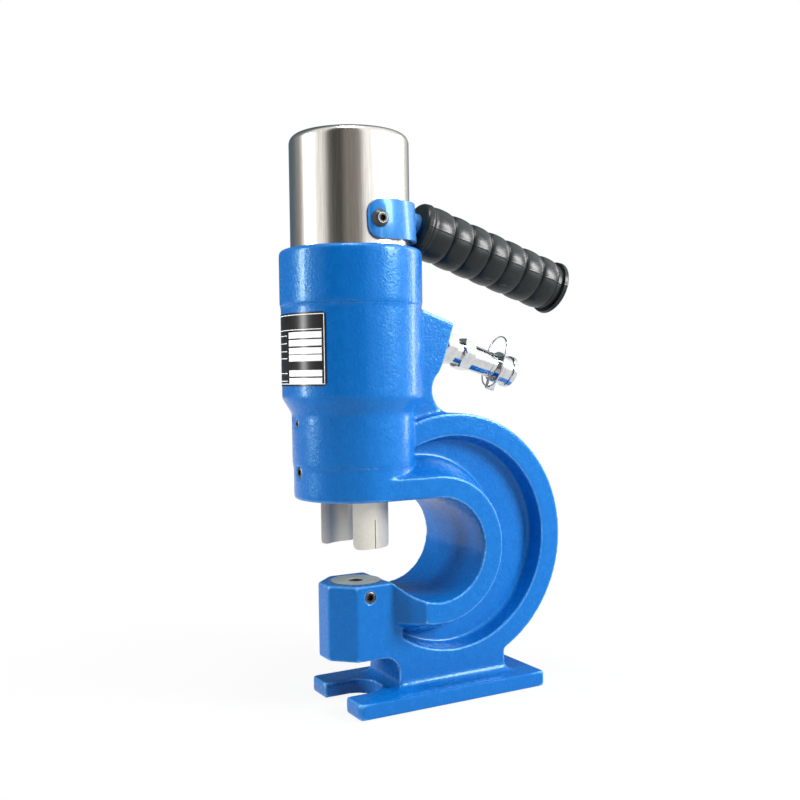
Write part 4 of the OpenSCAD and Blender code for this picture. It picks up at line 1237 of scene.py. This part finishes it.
# A stop that moves can change its place in the list, so the stops are placed twice.
for _ in range(2):
    for stop, (angle, colour) in zip(stops, WALLS):
        stop.position = (angle + 180) / 360
        stop.color = (*colour, 1)
walls = background(WALL_LIGHT)
world_tree.links.new(wall_colours.outputs["Color"], walls.inputs["Color"])
light_path = world_tree.nodes.new("ShaderNodeLightPath")
lit = choose(world_tree, light_path.outputs["Is Glossy Ray"], background(ROOM_LIGHT).outputs[0],
             walls.outputs[0])
seen = math_node(world_tree, "MAXIMUM", light_path.outputs["Is Camera Ray"],
                 light_path.outputs["Is Transmission Ray"], clamp=True)
world_tree.links.new(choose(world_tree, seen, lit, background(1.0).outputs[0]),
                     world_tree.nodes.new("ShaderNodeOutputWorld").inputs["Surface"])
print("studio walls at", len(WALLS), "bearings")

# %% [markdown]
# The floor is a pale plane that takes the tool's soft shadow. Further out it shines white to the camera, so
# that it meets the white background without a horizon.

# %% White floor
NEAR_FLOOR = 0.12
FAR_FLOOR = 0.42
NEAR_WHITE = 0.91
FLOOR_SIZE = 8
FLOOR_DROP = 0.0005
FLOOR_GREY = (0.65, 0.65, 0.65)

bpy.ops.object.select_all(action="DESELECT")
bpy.ops.mesh.primitive_plane_add(size=FLOOR_SIZE, location=(0, 0, -FLOOR_DROP))
floor = settle(call_it(bpy.context.object, "floor"))
floor_finish = Finish("floor_white", FLOOR_GREY, 0.85)
floor_tree = floor_finish.tree
away = floor_tree.nodes.new("ShaderNodeVectorMath")
away.operation = "LENGTH"
floor_tree.links.new(floor_finish.place, away.inputs[0])
floor_path = floor_tree.nodes.new("ShaderNodeLightPath")
glow = floor_tree.nodes.new("ShaderNodeEmission")
spread = floor_finish.ramp(away.outputs["Value"], NEAR_FLOOR, FAR_FLOOR, NEAR_WHITE, 1.0)
looked_at = math_node(floor_tree, "MAXIMUM", floor_path.outputs["Is Camera Ray"],
                      math_node(floor_tree, "MAXIMUM", floor_path.outputs["Is Glossy Ray"],
                                floor_path.outputs["Is Transmission Ray"]))
glow_share = math_node(floor_tree, "MULTIPLY", spread, looked_at)
floor_tree.links.new(choose(floor_tree, glow_share, floor_finish.shader.outputs[0], glow.outputs[0]),
                     floor_tree.nodes["Material Output"].inputs["Surface"])
floor.data.materials.append(floor_finish.material)

# %% [markdown]
# Four soft boxes light the tool: a large one on the right, an upright strip at the right edge and one at
# the left edge, which draw the bright lines down the cylinder, and a small one above.

# %% Lamps
TARGET = Vector((-0.04, 0, 0.2))
LAMP_DISTANCE = 1.5


def lamp(name, bearing, height, size, radiance):
    """A soft box towards a bearing and a height in degrees, as bright as radiance when it is looked at."""
    around, up = math.radians(bearing), math.radians(height)
    place = TARGET + LAMP_DISTANCE * Vector((math.cos(around) * math.cos(up), math.sin(around) * math.cos(up),
                                        math.sin(up)))
    bpy.ops.object.select_all(action="DESELECT")
    bpy.ops.object.light_add(type="AREA", location=place)
    light = bpy.context.object
    light.name = name
    light.data.shape = "RECTANGLE"
    light.data.size, light.data.size_y = size
    light.data.energy = radiance * math.pi * size[0] * size[1]
    light.rotation_euler = (TARGET - place).to_track_quat("-Z", "Y").to_euler()


lamp("soft_right", -47, 24, (0.45, 0.7), 35)
lamp("edge_right", 1, 14, (0.25, 1.0), 11)
lamp("soft_left", 162, 14, (0.25, 0.9), 30)
lamp("soft_top", -120, 80, (0.4, 0.4), 22)
print("lamps placed")

# %% [markdown]
# The Standard view shows each colour as it is written.

# %% Standard view
bpy.context.scene.view_settings.view_transform = "Standard"
